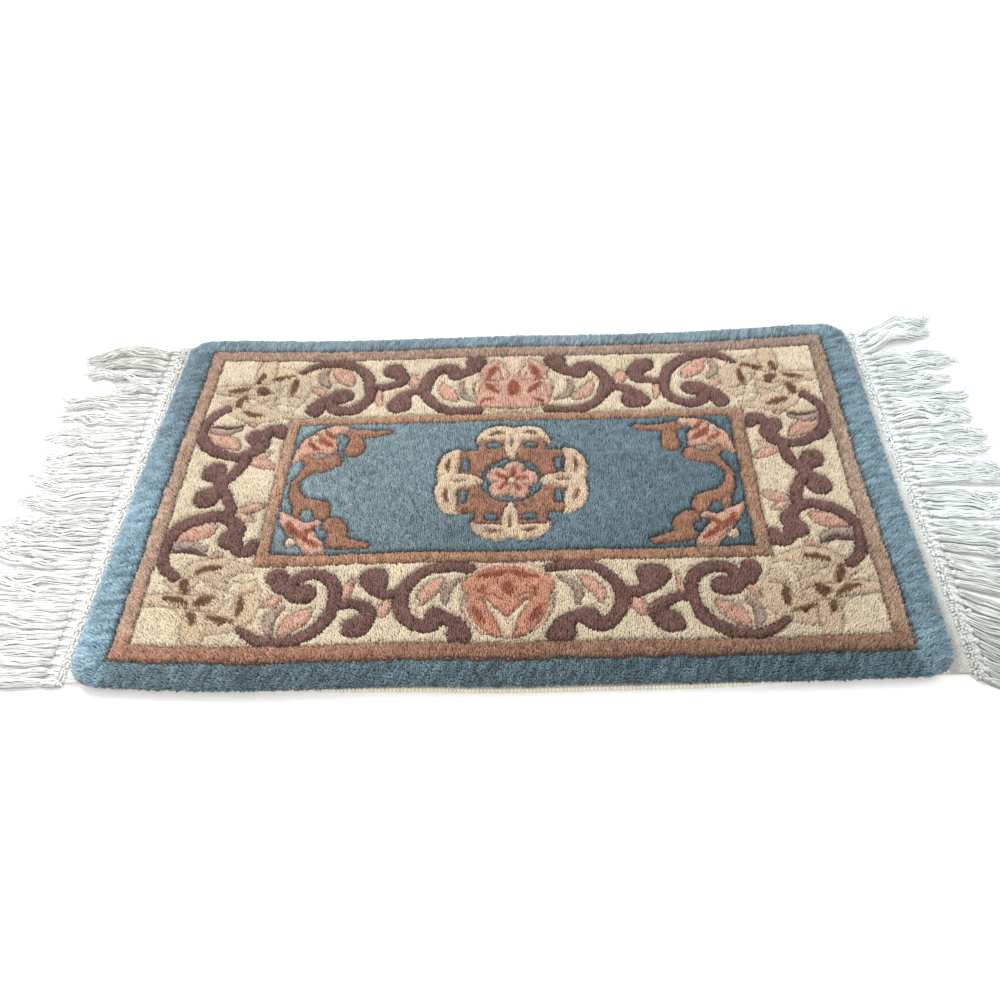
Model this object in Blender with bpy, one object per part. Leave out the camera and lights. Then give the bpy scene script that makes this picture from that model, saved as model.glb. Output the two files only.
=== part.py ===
"""Chinese rug: carved wool pile on a woven cotton ground, with a knotted fringe at both short ends.

Metres, +Z up. The rug lies flat on z = 0 with its long side along X and its back edge towards +Y.
"""

from collections import namedtuple
from math import cos, pi, sin

import bmesh
import bpy

# Driving dimensions
PILE_LENGTH = 0.914
PILE_WIDTH = 0.566
GROUND_THICKNESS = 0.0035
PILE_TOP = 0.0140
PILE_CORNER = 0.028
PIECE_GAP = 0.0003
WEB_LEFT = 0.013
WEB_RIGHT = 0.017
SELVEDGE_TUCK = 0.004
KNOT_BAND = 0.015
FRINGE_THICKNESS = 0.0045
FRINGE_INSET = 0.006
TOOTH_ROOT_FILL = 0.90
TOOTH_TIP_FILL = 0.62
TOOTH_STATIONS = 6

# Segments round one ring of the pile or the ground
LONG_SIDE_SEGMENTS = 24
SHORT_SIDE_SEGMENTS = 14
CORNER_SEGMENTS = 5

# Carved lines of the pile: how far each lies in from the outer edge, side by side
Line = namedtuple("Line", "left right back front corner")
LINES = {
    "edge": Line(left=0.000, right=0.000, back=0.0000, front=0.0000, corner=PILE_CORNER),
    "border": Line(left=0.037, right=0.035, back=0.0265, front=0.0320, corner=0.005),
    "stripe": Line(left=0.056, right=0.054, back=0.0455, front=0.0520, corner=0.004),
    "frame": Line(left=0.171, right=0.159, back=0.1610, front=0.1600, corner=0.004),
    "field": Line(left=0.186, right=0.177, back=0.1740, front=0.1760, corner=0.004),
}

# The pile from its underside over the rounded edge and down and up through each carved groove
Ring = namedtuple("Ring", "line inward height")
GROOVE_HALF = 0.0025
GROOVE_FLOOR = 0.0120
PILE_RINGS = (
    Ring("edge", 0.0040, GROUND_THICKNESS + PIECE_GAP),
    Ring("edge", 0.0010, 0.0055),
    Ring("edge", 0.0000, 0.0085),
    Ring("edge", 0.0025, 0.0115),
    Ring("edge", 0.0080, 0.0134),
    Ring("border", -GROOVE_HALF, PILE_TOP),
    Ring("border", 0.0000, GROOVE_FLOOR),
    Ring("border", GROOVE_HALF, PILE_TOP),
    Ring("stripe", -GROOVE_HALF, PILE_TOP),
    Ring("stripe", 0.0000, GROOVE_FLOOR),
    Ring("stripe", GROOVE_HALF, PILE_TOP),
    Ring("frame", -GROOVE_HALF, PILE_TOP),
    Ring("frame", 0.0000, GROOVE_FLOOR),
    Ring("frame", GROOVE_HALF, PILE_TOP),
    Ring("field", -GROOVE_HALF, PILE_TOP),
    Ring("field", 0.0000, GROOVE_FLOOR),
    Ring("field", GROOVE_HALF, PILE_TOP),
)

# How far the laid rug strays from a true rectangle: along the length, then across the width
LongWave = namedtuple("LongWave", "x back front selvedge")
LONG_WAVES = (
    LongWave(x=-0.457, back=0.004, front=0.007, selvedge=0.000),
    LongWave(x=-0.400, back=0.005, front=0.001, selvedge=0.000),
    LongWave(x=-0.300, back=0.000, front=-0.003, selvedge=0.000),
    LongWave(x=-0.200, back=-0.002, front=-0.002, selvedge=0.002),
    LongWave(x=-0.100, back=-0.001, front=0.001, selvedge=0.005),
    LongWave(x=0.000, back=0.000, front=0.000, selvedge=0.006),
    LongWave(x=0.100, back=-0.002, front=0.002, selvedge=0.006),
    LongWave(x=0.200, back=-0.002, front=0.003, selvedge=0.005),
    LongWave(x=0.300, back=0.001, front=0.004, selvedge=0.001),
    LongWave(x=0.400, back=0.008, front=0.007, selvedge=0.000),
    LongWave(x=0.457, back=0.008, front=0.010, selvedge=0.000),
)
ShortWave = namedtuple("ShortWave", "y left right")
SHORT_WAVES = (
    ShortWave(y=-0.283, left=0.002, right=-0.002),
    ShortWave(y=-0.200, left=0.000, right=0.001),
    ShortWave(y=-0.100, left=0.000, right=0.000),
    ShortWave(y=0.000, left=0.000, right=-0.001),
    ShortWave(y=0.100, left=0.001, right=0.000),
    ShortWave(y=0.200, left=0.003, right=0.001),
    ShortWave(y=0.283, left=0.004, right=-0.001),
)

# Clumps that the loose cords lie in, from the back corner to the front one. Reach is how far
# the tips lie from the knot band, drift how far towards +Y, bow how far the middle strays.
Clump = namedtuple("Clump", "teeth reach drift bow")
LEFT_CLUMPS = (
    Clump(teeth=2, reach=0.116, drift=-0.004, bow=0.008),
    Clump(teeth=2, reach=0.106, drift=0.000, bow=0.006),
    Clump(teeth=2, reach=0.102, drift=0.004, bow=0.006),
    Clump(teeth=2, reach=0.062, drift=0.004, bow=0.004),
    Clump(teeth=3, reach=0.120, drift=0.005, bow=0.003),
    Clump(teeth=2, reach=0.112, drift=0.004, bow=0.003),
    Clump(teeth=3, reach=0.118, drift=-0.002, bow=-0.002),
    Clump(teeth=3, reach=0.117, drift=-0.003, bow=-0.002),
    Clump(teeth=3, reach=0.115, drift=0.001, bow=-0.004),
    Clump(teeth=4, reach=0.114, drift=0.003, bow=-0.003),
    Clump(teeth=3, reach=0.120, drift=0.006, bow=-0.003),
    Clump(teeth=4, reach=0.124, drift=0.012, bow=-0.005),
    Clump(teeth=3, reach=0.122, drift=0.009, bow=-0.004),
    Clump(teeth=4, reach=0.118, drift=0.002, bow=0.000),
    Clump(teeth=4, reach=0.120, drift=-0.004, bow=0.002),
    Clump(teeth=2, reach=0.112, drift=-0.006, bow=0.002),
)
RIGHT_CLUMPS = (
    Clump(teeth=3, reach=0.086, drift=0.028, bow=0.006),
    Clump(teeth=3, reach=0.104, drift=0.004, bow=0.002),
    Clump(teeth=2, reach=0.088, drift=0.001, bow=0.000),
    Clump(teeth=2, reach=0.104, drift=0.001, bow=0.001),
    Clump(teeth=2, reach=0.086, drift=0.000, bow=0.004),
    Clump(teeth=4, reach=0.100, drift=-0.001, bow=0.008),
    Clump(teeth=4, reach=0.106, drift=-0.002, bow=0.004),
    Clump(teeth=4, reach=0.108, drift=-0.003, bow=0.003),
    Clump(teeth=4, reach=0.104, drift=-0.006, bow=0.002),
    Clump(teeth=4, reach=0.106, drift=-0.012, bow=0.001),
    Clump(teeth=4, reach=0.104, drift=-0.019, bow=-0.001),
    Clump(teeth=4, reach=0.106, drift=-0.025, bow=-0.002),
    Clump(teeth=4, reach=0.102, drift=-0.030, bow=-0.003),
    Clump(teeth=2, reach=0.094, drift=-0.033, bow=-0.003),
)

WOOL_BLUE = (0.14, 0.26, 0.37, 1.0)
COTTON_CREAM = (0.70, 0.66, 0.56, 1.0)
COTTON_WHITE = (0.82, 0.81, 0.78, 1.0)


def clear_scene():
    for obj in list(bpy.data.objects):
        bpy.data.objects.remove(obj)


def make_collection(name):
    collection = bpy.data.collections.new(name)
    bpy.context.scene.collection.children.link(collection)
    return collection


def make_material(name, colour, roughness):
    material = bpy.data.materials.new(name)
    material.use_nodes = True
    shader = material.node_tree.nodes["Principled BSDF"]
    shader.inputs["Base Color"].default_value = colour
    shader.inputs["Roughness"].default_value = roughness
    shader.inputs["Metallic"].default_value = 0.0
    return material


def through(rows, place, value, at):
    """Smooth curve through one column of a table of stations, held level past its ends."""
    places = [getattr(row, place) for row in rows]
    values = [getattr(row, value) for row in rows]
    if at <= places[0]:
        return values[0]
    if at >= places[-1]:
        return values[-1]
    k = max(i for i, here in enumerate(places) if here <= at)
    before, after = max(k - 1, 0), min(k + 2, len(rows) - 1)
    t = (at - places[k]) / (places[k + 1] - places[k])
    step = places[k + 1] - places[k]
    slope_in = (values[k + 1] - values[before]) / (places[k + 1] - places[before]) * step
    slope_out = (values[after] - values[k]) / (places[after] - places[k]) * step
    return (
        (2 * t**3 - 3 * t**2 + 1) * values[k]
        + (t**3 - 2 * t**2 + t) * slope_in
        + (3 * t**2 - 2 * t**3) * values[k + 1]
        + (t**3 - t**2) * slope_out
    )


def laid(x, y):
    """Where a point of the true rectangle comes to lie on the floor."""
    towards_back = y / PILE_WIDTH + 0.5
    towards_right = x / PILE_LENGTH + 0.5
    back = through(LONG_WAVES, "x", "back", x)
    front = through(LONG_WAVES, "x", "front", x)
    left = through(SHORT_WAVES, "y", "left", y)
    right = through(SHORT_WAVES, "y", "right", y)
    shift_x = left + (right - left) * towards_right
    shift_y = front + (back - front) * towards_back
    return x + shift_x, y + shift_y


def ring_plan(left, right, back, front, corner):
    """Rounded rectangle between four sides, anticlockwise from the front left corner."""
    centres = (
        (left + corner, front + corner, pi),
        (right - corner, front + corner, 1.5 * pi),
        (right - corner, back - corner, 0.0),
        (left + corner, back - corner, 0.5 * pi),
    )
    sides = (LONG_SIDE_SEGMENTS, SHORT_SIDE_SEGMENTS, LONG_SIDE_SEGMENTS, SHORT_SIDE_SEGMENTS)
    corners = []
    for centre_x, centre_y, start in centres:
        angles = [start + 0.5 * pi * i / CORNER_SEGMENTS for i in range(CORNER_SEGMENTS + 1)]
        corners.append([(centre_x + corner * cos(a), centre_y + corner * sin(a)) for a in angles])
    plan = []
    for i, arc in enumerate(corners):
        plan += arc
        (x0, y0), (x1, y1) = arc[-1], corners[(i + 1) % len(corners)][0]
        for step in range(1, sides[i]):
            part = step / sides[i]
            plan.append((x0 + (x1 - x0) * part, y0 + (y1 - y0) * part))
    return plan


def loft(name, rings):
    """Closed solid through rings of equally many points, capped at its first and last ring."""
    mesh = bpy.data.meshes.new(name)
    bm = bmesh.new()
    loops = [[bm.verts.new(point) for point in ring] for ring in rings]
    for lower, upper in zip(loops, loops[1:]):
        count = len(lower)
        for i in range(count):
            j = (i + 1) % count
            bm.faces.new((lower[i], lower[j], upper[j], upper[i]))
    bm.faces.new(list(reversed(loops[0])))
    bm.faces.new(loops[-1])
    bmesh.ops.recalc_face_normals(bm, faces=bm.faces)
    bm.to_mesh(mesh)
    bm.free()
    return bpy.data.objects.new(name, mesh)


def make_pile(collection):
    rings = []
    for ring in PILE_RINGS:
        line = LINES[ring.line]
        plan = ring_plan(
            -PILE_LENGTH / 2 + line.left + ring.inward,
            PILE_LENGTH / 2 - line.right - ring.inward,
            PILE_WIDTH / 2 - line.back - ring.inward,
            -PILE_WIDTH / 2 + line.front + ring.inward,
            max(line.corner - ring.inward, 0.001),
        )
        rings.append([(*laid(x, y), ring.height) for x, y in plan])
    pile = loft("pile", rings)
    pile.data.materials.append(make_material("wool pile", WOOL_BLUE, 0.95))
    collection.objects.link(pile)


def make_ground(collection):
    """Cotton ground: the web runs out past both ends and its selvedge peeps out in front."""
    plan = ring_plan(
        -PILE_LENGTH / 2 - WEB_LEFT,
        PILE_LENGTH / 2 + WEB_RIGHT,
        PILE_WIDTH / 2 - SELVEDGE_TUCK,
        -PILE_WIDTH / 2 + SELVEDGE_TUCK,
        SELVEDGE_TUCK,
    )
    outline = []
    for x, y in plan:
        lie_x, lie_y = laid(x, y)
        if y < 0 and abs(x) < PILE_LENGTH / 2:
            lie_y -= through(LONG_WAVES, "x", "selvedge", x)
        outline.append((straight_end(x, lie_x), lie_y))
    rings = [[(x, y, height) for x, y in outline] for height in (0.0, GROUND_THICKNESS)]
    ground = loft("ground", rings)
    ground.data.materials.append(make_material("cotton ground", COTTON_CREAM, 0.90))
    collection.objects.link(ground)


def straight_end(x, lie_x):
    """The web's two ends stay straight, so that the fringe meets them along one line."""
    return x if abs(x) > PILE_LENGTH / 2 else lie_x


def tooth_centres(clumps, first_y, pitch):
    """Each tooth's root, and its place across its clump, from the back corner forwards."""
    root = first_y
    for clump in clumps:
        middle = root - pitch * (clump.teeth - 1) / 2
        for _ in range(clump.teeth):
            yield clump, root, root - middle
            root -= pitch


def comb_outline(clumps, side, root_x, back_y, front_y):
    """Outline of a comb: one straight spine against the web, and a bent tooth for each cord."""
    count = sum(clump.teeth for clump in clumps)
    pitch = (back_y - front_y) / count
    outline = [(side * root_x, front_y), (side * root_x, back_y)]
    spine_x = root_x + KNOT_BAND
    for clump, root, across in tooth_centres(clumps, back_y - pitch / 2, pitch):
        rows = []
        for station in range(TOOTH_STATIONS + 1):
            t = station / TOOTH_STATIONS
            fill = TOOTH_ROOT_FILL + (TOOTH_TIP_FILL - TOOTH_ROOT_FILL) * t
            half = pitch * fill / 2
            gather = across * 0.18 * t
            centre = root - gather + clump.drift * t * t + clump.bow * sin(pi * t)
            rows.append((side * (spine_x + clump.reach * t), centre, half))
        outline += [(x, centre + half) for x, centre, half in rows]
        outline += [(x, centre - half) for x, centre, half in reversed(rows)]
    return outline


def make_fringe(collection, name, clumps, side, root_x, back_y, front_y, material):
    """A flat outline filled on both sides and given the thickness of the laid cords."""
    outline = comb_outline(clumps, side, root_x, back_y, front_y)
    curve = bpy.data.curves.new(name, "CURVE")
    curve.dimensions = "2D"
    curve.fill_mode = "BOTH"
    curve.extrude = FRINGE_THICKNESS / 2
    spline = curve.splines.new("POLY")
    spline.points.add(len(outline) - 1)
    for point, (x, y) in zip(spline.points, outline):
        point.co = (x, y, 0.0, 1.0)
    spline.use_cyclic_u = True
    fringe = bpy.data.objects.new(name, curve)
    fringe.location.z = FRINGE_THICKNESS / 2
    curve.materials.append(material)
    collection.objects.link(fringe)


def main():
    clear_scene()
    rug = make_collection("chinese_rug")
    make_ground(rug)
    make_pile(rug)
    cotton = make_material("cotton fringe", COTTON_WHITE, 0.90)
    left_x = PILE_LENGTH / 2 + WEB_LEFT + PIECE_GAP
    right_x = PILE_LENGTH / 2 + WEB_RIGHT + PIECE_GAP
    back, front = PILE_WIDTH / 2 - FRINGE_INSET, -PILE_WIDTH / 2 + FRINGE_INSET
    make_fringe(rug, "fringe_left", LEFT_CLUMPS, -1, left_x, back, front, cotton)
    make_fringe(rug, "fringe_right", RIGHT_CLUMPS, 1, right_x, back, front, cotton)


main()
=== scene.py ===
# %% [markdown]
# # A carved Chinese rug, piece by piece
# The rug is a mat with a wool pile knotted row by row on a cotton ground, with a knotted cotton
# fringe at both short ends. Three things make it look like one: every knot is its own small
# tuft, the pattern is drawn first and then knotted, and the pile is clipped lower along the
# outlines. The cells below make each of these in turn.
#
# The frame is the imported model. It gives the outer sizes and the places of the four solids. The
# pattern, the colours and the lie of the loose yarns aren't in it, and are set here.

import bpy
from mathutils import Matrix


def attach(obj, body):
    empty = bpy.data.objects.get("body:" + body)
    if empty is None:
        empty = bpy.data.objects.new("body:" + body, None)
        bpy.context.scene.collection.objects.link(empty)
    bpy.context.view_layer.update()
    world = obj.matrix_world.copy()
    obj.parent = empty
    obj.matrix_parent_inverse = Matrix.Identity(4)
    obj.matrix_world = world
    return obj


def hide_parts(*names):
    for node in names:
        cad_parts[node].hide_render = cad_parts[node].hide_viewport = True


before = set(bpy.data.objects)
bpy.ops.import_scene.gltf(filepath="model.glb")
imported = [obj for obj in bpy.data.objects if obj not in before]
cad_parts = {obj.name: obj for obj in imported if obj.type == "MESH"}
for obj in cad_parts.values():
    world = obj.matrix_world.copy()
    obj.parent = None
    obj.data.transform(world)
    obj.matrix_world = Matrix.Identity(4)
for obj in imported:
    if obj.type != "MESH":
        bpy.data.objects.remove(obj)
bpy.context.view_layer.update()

# %% tools for the lesson
from collections import namedtuple
from math import cos, pi, radians, sin

import bmesh
import bpy
import numpy as np
from mathutils import Vector

MM = 0.001
scene = bpy.context.scene

# %% [markdown]
# ## Where the viewer stands
# The viewer stands in front of the rug, a little over arm's length away, and looks down at it.
# The view is rolled a little, so the rug looks slightly askew.

# %% camera
eye = bpy.data.cameras.new("viewer")
eye.lens = 35.28
eye.sensor_width = 36.0
viewer = bpy.data.objects.new("viewer", eye)
viewer.location = (0.054, -0.815, 0.865)
viewer.rotation_euler = (radians(42.57), radians(2.91), radians(1.31))
scene.collection.objects.link(viewer)
scene.camera = viewer

# %% [markdown]
# ## Light and floor
# Wool shows its grain when the light comes from one side, and looks flat when it comes from
# everywhere. So one large soft lamp hangs behind the left corner, as a window would, weaker ones
# fill the right side and the front, and a bright even surround keeps the shadows pale. The
# colours are shown without a film look, so that a dyed wool keeps its own hue.

# %% lamps and surround
scene.view_settings.view_transform = "Standard"


def hang_lamp(name, place, size, power, colour):
    """A square lamp that faces the middle of the rug."""
    lamp = bpy.data.lights.new(name, "AREA")
    lamp.size = size
    lamp.energy = power
    lamp.color = colour
    holder = bpy.data.objects.new(name, lamp)
    holder.location = place
    holder.rotation_euler = (-Vector(place)).to_track_quat("-Z", "Y").to_euler()
    scene.collection.objects.link(holder)


hang_lamp("window", (-2.10, 2.44, 2.10), 1.5, 209.0, (0.99, 0.99, 1.0))
hang_lamp("side_fill", (1.70, 0.60, 1.30), 1.4, 14.0, (0.84, 0.95, 1.0))
hang_lamp("front_fill", (0.10, -1.90, 1.90), 2.0, 30.0, (1.0, 0.955, 0.90))
surround = bpy.data.worlds.new("surround")
surround.use_nodes = True
surround.node_tree.nodes["Background"].inputs["Color"].default_value = (1.0, 1.0, 1.0, 1.0)
surround.node_tree.nodes["Background"].inputs["Strength"].default_value = 0.68
scene.world = surround

# %% floor
FLOOR_HALF = 4.0


def make_floor():
    bm = bmesh.new()
    bmesh.ops.create_grid(bm, x_segments=1, y_segments=1, size=FLOOR_HALF)
    mesh = bpy.data.meshes.new("floor")
    bm.to_mesh(mesh)
    bm.free()
    plaster = bpy.data.materials.new("pale floor")
    plaster.use_nodes = True
    shader = plaster.node_tree.nodes["Principled BSDF"]
    shader.inputs["Base Color"].default_value = (0.95, 0.95, 0.95, 1.0)
    shader.inputs["Roughness"].default_value = 0.95
    shader.inputs["Specular IOR Level"].default_value = 0.1
    mesh.materials.append(plaster)
    floor = bpy.data.objects.new("floor", mesh)
    scene.collection.objects.link(floor)
    return floor


make_floor()

# %% [markdown]
# ## The rug as it lies
# The rug was woven as a rectangle, but it doesn't lie as one: its edges wander by some
# millimetres. Every piece is laid out on the true rectangle first and then moved by the same
# small shifts, which are those of the construction, so that all the pieces stay together.

# %% the laid rectangle
PILE_LENGTH, PILE_WIDTH = 0.914, 0.566
PILE_CORNER = 0.028
GROUND_THICKNESS = 0.0035
PILE_TOP = 0.0140

LongWave = namedtuple("LongWave", "x back front selvedge")
LONG_WAVES = (
    LongWave(-0.457, 0.004, 0.007, 0.000), LongWave(-0.400, 0.005, 0.001, 0.000),
    LongWave(-0.300, 0.000, -0.003, 0.000), LongWave(-0.200, -0.002, -0.002, 0.002),
    LongWave(-0.100, -0.001, 0.001, 0.005), LongWave(0.000, 0.000, 0.000, 0.006),
    LongWave(0.100, -0.002, 0.002, 0.006), LongWave(0.200, -0.002, 0.003, 0.005),
    LongWave(0.300, 0.001, 0.004, 0.001), LongWave(0.400, 0.008, 0.007, 0.000),
    LongWave(0.457, 0.008, 0.010, 0.000),
)
ShortWave = namedtuple("ShortWave", "y left right")
SHORT_WAVES = (
    ShortWave(-0.283, 0.002, -0.002), ShortWave(-0.200, 0.000, 0.001),
    ShortWave(-0.100, 0.000, 0.000), ShortWave(0.000, 0.000, -0.001),
    ShortWave(0.100, 0.001, 0.000), ShortWave(0.200, 0.003, 0.001),
    ShortWave(0.283, 0.004, -0.001),
)


def through(rows, place, value, at):
    """Smooth curve through one column of a table of stations, held level past its ends."""
    places = np.array([getattr(row, place) for row in rows])
    values = np.array([getattr(row, value) for row in rows])
    at = np.clip(at, places[0], places[-1])
    k = np.clip(np.searchsorted(places, at, side="right") - 1, 0, len(rows) - 2)
    before, after = np.maximum(k - 1, 0), np.minimum(k + 2, len(rows) - 1)
    step = places[k + 1] - places[k]
    t = (at - places[k]) / step
    slope_in = (values[k + 1] - values[before]) / (places[k + 1] - places[before]) * step
    slope_out = (values[after] - values[k]) / (places[after] - places[k]) * step
    return (
        (2 * t**3 - 3 * t**2 + 1) * values[k]
        + (t**3 - 2 * t**2 + t) * slope_in
        + (3 * t**2 - 2 * t**3) * values[k + 1]
        + (t**3 - t**2) * slope_out
    )


def laid(x, y):
    """Where a place on the true rectangle comes to lie on the floor."""
    back, front = (through(LONG_WAVES, "x", side, x) for side in ("back", "front"))
    left, right = (through(SHORT_WAVES, "y", side, y) for side in ("left", "right"))
    shift_x = left + (right - left) * (x / PILE_LENGTH + 0.5)
    shift_y = front + (back - front) * (y / PILE_WIDTH + 0.5)
    return x + shift_x, y + shift_y


print("the middle of the front edge lies at", laid(0.0, -PILE_WIDTH / 2))

# %% [markdown]
# ## The pattern as brush strokes
# A carpet designer paints a cartoon with a round brush before anything is knotted. The same
# idea works here: every scroll, petal and accent is one stroke, given by a few rows of
# (x, y, width) in millimetres, and a smooth curve is run through them. Most strokes are drawn
# for one quarter and mirrored into the others. The middle flowers and the field's corners are
# drawn twice, for the back and for the front, and mirrored from left to right.

# %% strokes
QUARTER, BACK, FRONT, OCTANT = "quarter", "back", "front", "octant"
CARVED = "carved"
Stroke = namedtuple("Stroke", "colour where rows")

SCROLLS = (
    # the scroll beside the middle flower: open ring, inner bulb, outer bulb, side branch
    Stroke("plum", QUARTER, ((40, 131, 13), (60, 128, 15), (84, 132, 15), (104, 147, 16), (115, 169, 17),
                             (112, 193, 17), (98, 211, 17), (82, 211, 21), (75, 201, 26))),
    Stroke("plum", QUARTER, ((76, 203, 22), (62, 203, 17), (51, 212, 20), (48, 226, 27))),
    Stroke("plum", QUARTER, ((114, 164, 13), (128, 169, 14), (141, 161, 17), (145, 143, 29))),
    # the scroll between the two rings
    Stroke("plum", QUARTER, ((158, 212, 28), (147, 200, 17), (150, 186, 14), (165, 179, 13),
                             (186, 182, 13))),
    # the large ring beside the corner flower
    Stroke("plum", QUARTER, ((291, 212, 9), (280, 220, 12), (264, 227, 14), (240, 231, 16), (214, 223, 16),
                             (195, 204, 16), (186, 178, 16), (189, 152, 16), (207, 136, 16), (226, 138, 17),
                             (238, 151, 19), (233, 163, 22), (220, 163, 28))),
    Stroke("plum", QUARTER, ((238, 156, 17), (250, 153, 20), (257, 139, 28))),
    # the ring on the short side, with its inner bulb and its foot by the inner stripe
    Stroke("plum", QUARTER, ((376, 139, 14), (387, 128, 14), (396, 110, 15), (396, 88, 16), (385, 67, 17),
                             (364, 54, 16), (343, 50, 15), (327, 58, 17), (320, 72, 23), (326, 86, 27))),
    Stroke("plum", QUARTER, ((320, 86, 18), (311, 100, 17), (300, 100, 19), (296, 93, 20))),
    # the crossed stems in the middle of the short side
    Stroke("plum", QUARTER, ((334, 54, 15), (334, 36, 15), (342, 18, 15), (352, 6, 17), (354, 0, 18))),
    Stroke("plum", QUARTER, ((353, 4, 15), (362, 12, 17), (366, 22, 31))),
)

LEAVES = (
    # petals laid inside the rings and small leaves tucked between the scrolls
    Stroke("salmon", QUARTER, ((212, 186, 8), (222, 198, 22), (234, 209, 20), (240, 218, 8))),
    Stroke("mauve", QUARTER, ((244, 182, 6), (255, 194, 14), (257, 208, 12), (251, 220, 6))),
    Stroke("ivory", QUARTER, ((234, 188, 4), (244, 198, 7), (246, 212, 5))),
    Stroke("ivory", QUARTER, ((269, 212, 8), (271, 205, 11), (269, 199, 6))),
    Stroke("salmon", QUARTER, ((248, 166, 6), (256, 173, 14), (267, 179, 8))),
    Stroke("salmon", QUARTER, ((388, 84, 10), (374, 79, 22), (357, 74, 20), (347, 66, 8))),
    Stroke("mauve", QUARTER, ((389, 98, 9), (372, 95, 14), (352, 100, 9))),
    Stroke("plum", QUARTER, ((386, 105, 4), (366, 102, 6), (349, 107, 4))),
    Stroke("salmon", QUARTER, ((70, 148, 7), (82, 160, 19), (90, 172, 16), (92, 183, 6))),
    Stroke("mauve", QUARTER, ((48, 148, 5), (60, 156, 9), (66, 170, 9), (64, 184, 5))),
    Stroke("ivory", QUARTER, ((97, 180, 5), (101, 192, 8), (97, 200, 5))),
    Stroke("salmon", QUARTER, ((133, 199, 8), (131, 188, 15), (128, 178, 8))),
    Stroke("salmon", QUARTER, ((171, 174, 7), (172, 160, 14), (168, 146, 8))),
    Stroke("salmon", QUARTER, ((296, 30, 5), (306, 36, 16), (320, 40, 12))),
    Stroke("blush", QUARTER, ((302, 56, 4), (311, 52, 10), (320, 46, 5))),
    Stroke("salmon", QUARTER, ((334, 108, 9), (342, 114, 10), (352, 120, 4))),
)

CORNER_FLOWER = (
    Stroke("sand", QUARTER, ((322, 168, 88),)),
    Stroke("sand", QUARTER, ((300, 150, 36), (288, 172, 34), (296, 196, 34), (318, 206, 30))),
    Stroke("sand", QUARTER, ((300, 132, 24), (330, 127, 30), (352, 128, 22), (366, 138, 14))),
    Stroke("sand", QUARTER, ((350, 176, 34), (372, 173, 22), (390, 173, 17), (401, 176, 10))),
    Stroke("sand", QUARTER, ((336, 196, 34), (338, 214, 24), (338, 226, 21), (336, 236, 14))),
    Stroke("sand", QUARTER, ((352, 156, 30), (370, 150, 15), (382, 147, 7))),
    Stroke("cream", QUARTER, ((286, 138, 9), (300, 139, 14), (316, 142, 10))),
    Stroke("cream", QUARTER, ((302, 148, 10), (307, 162, 13), (308, 181, 7))),
    Stroke("cream", QUARTER, ((331, 148, 5), (342, 150, 9), (350, 158, 5))),
    Stroke(CARVED, QUARTER, ((350, 186, 1), (372, 184, 1), (401, 183, 1))),
    Stroke(CARVED, QUARTER, ((350, 190, 1), (352, 212, 1), (346, 235, 1))),
    Stroke(CARVED, QUARTER, ((352, 166, 1), (374, 163, 1), (392, 166, 1))),
    Stroke(CARVED, QUARTER, ((326, 204, 1), (325, 218, 1), (328, 234, 1))),
    Stroke(CARVED, QUARTER, ((283, 160, 1), (300, 164, 1), (314, 158, 1), (316, 146, 1), (306, 132, 1))),
    Stroke(CARVED, QUARTER, ((314, 158, 1), (330, 152, 1), (348, 140, 1))),
    Stroke(CARVED, QUARTER, ((300, 164, 1), (312, 176, 1), (318, 190, 1), (312, 206, 1))),
    Stroke(CARVED, QUARTER, ((312, 176, 1), (330, 166, 1), (352, 166, 1))),
    Stroke(CARVED, QUARTER, ((322, 190, 1), (336, 187, 1), (350, 190, 1))),
    Stroke("umber", QUARTER, ((300, 202, 4), (314, 199, 7), (326, 196, 4))),
    Stroke("umber", QUARTER, ((341, 205, 4), (342, 198, 8), (346, 191, 4))),
    Stroke("umber", QUARTER, ((330, 169, 7), (335, 174, 13), (341, 177, 8))),
    Stroke("umber", QUARTER, ((352, 180, 3), (363, 175, 8), (378, 171, 4))),
    Stroke("umber", QUARTER, ((357, 162, 5), (361, 152, 10), (363, 143, 5))),
    Stroke("umber", QUARTER, ((295, 193, 4), (295, 181, 8), (297, 169, 4))),
    Stroke("umber", QUARTER, ((327, 125, 3), (338, 127, 8), (350, 132, 5))),
)

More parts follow.
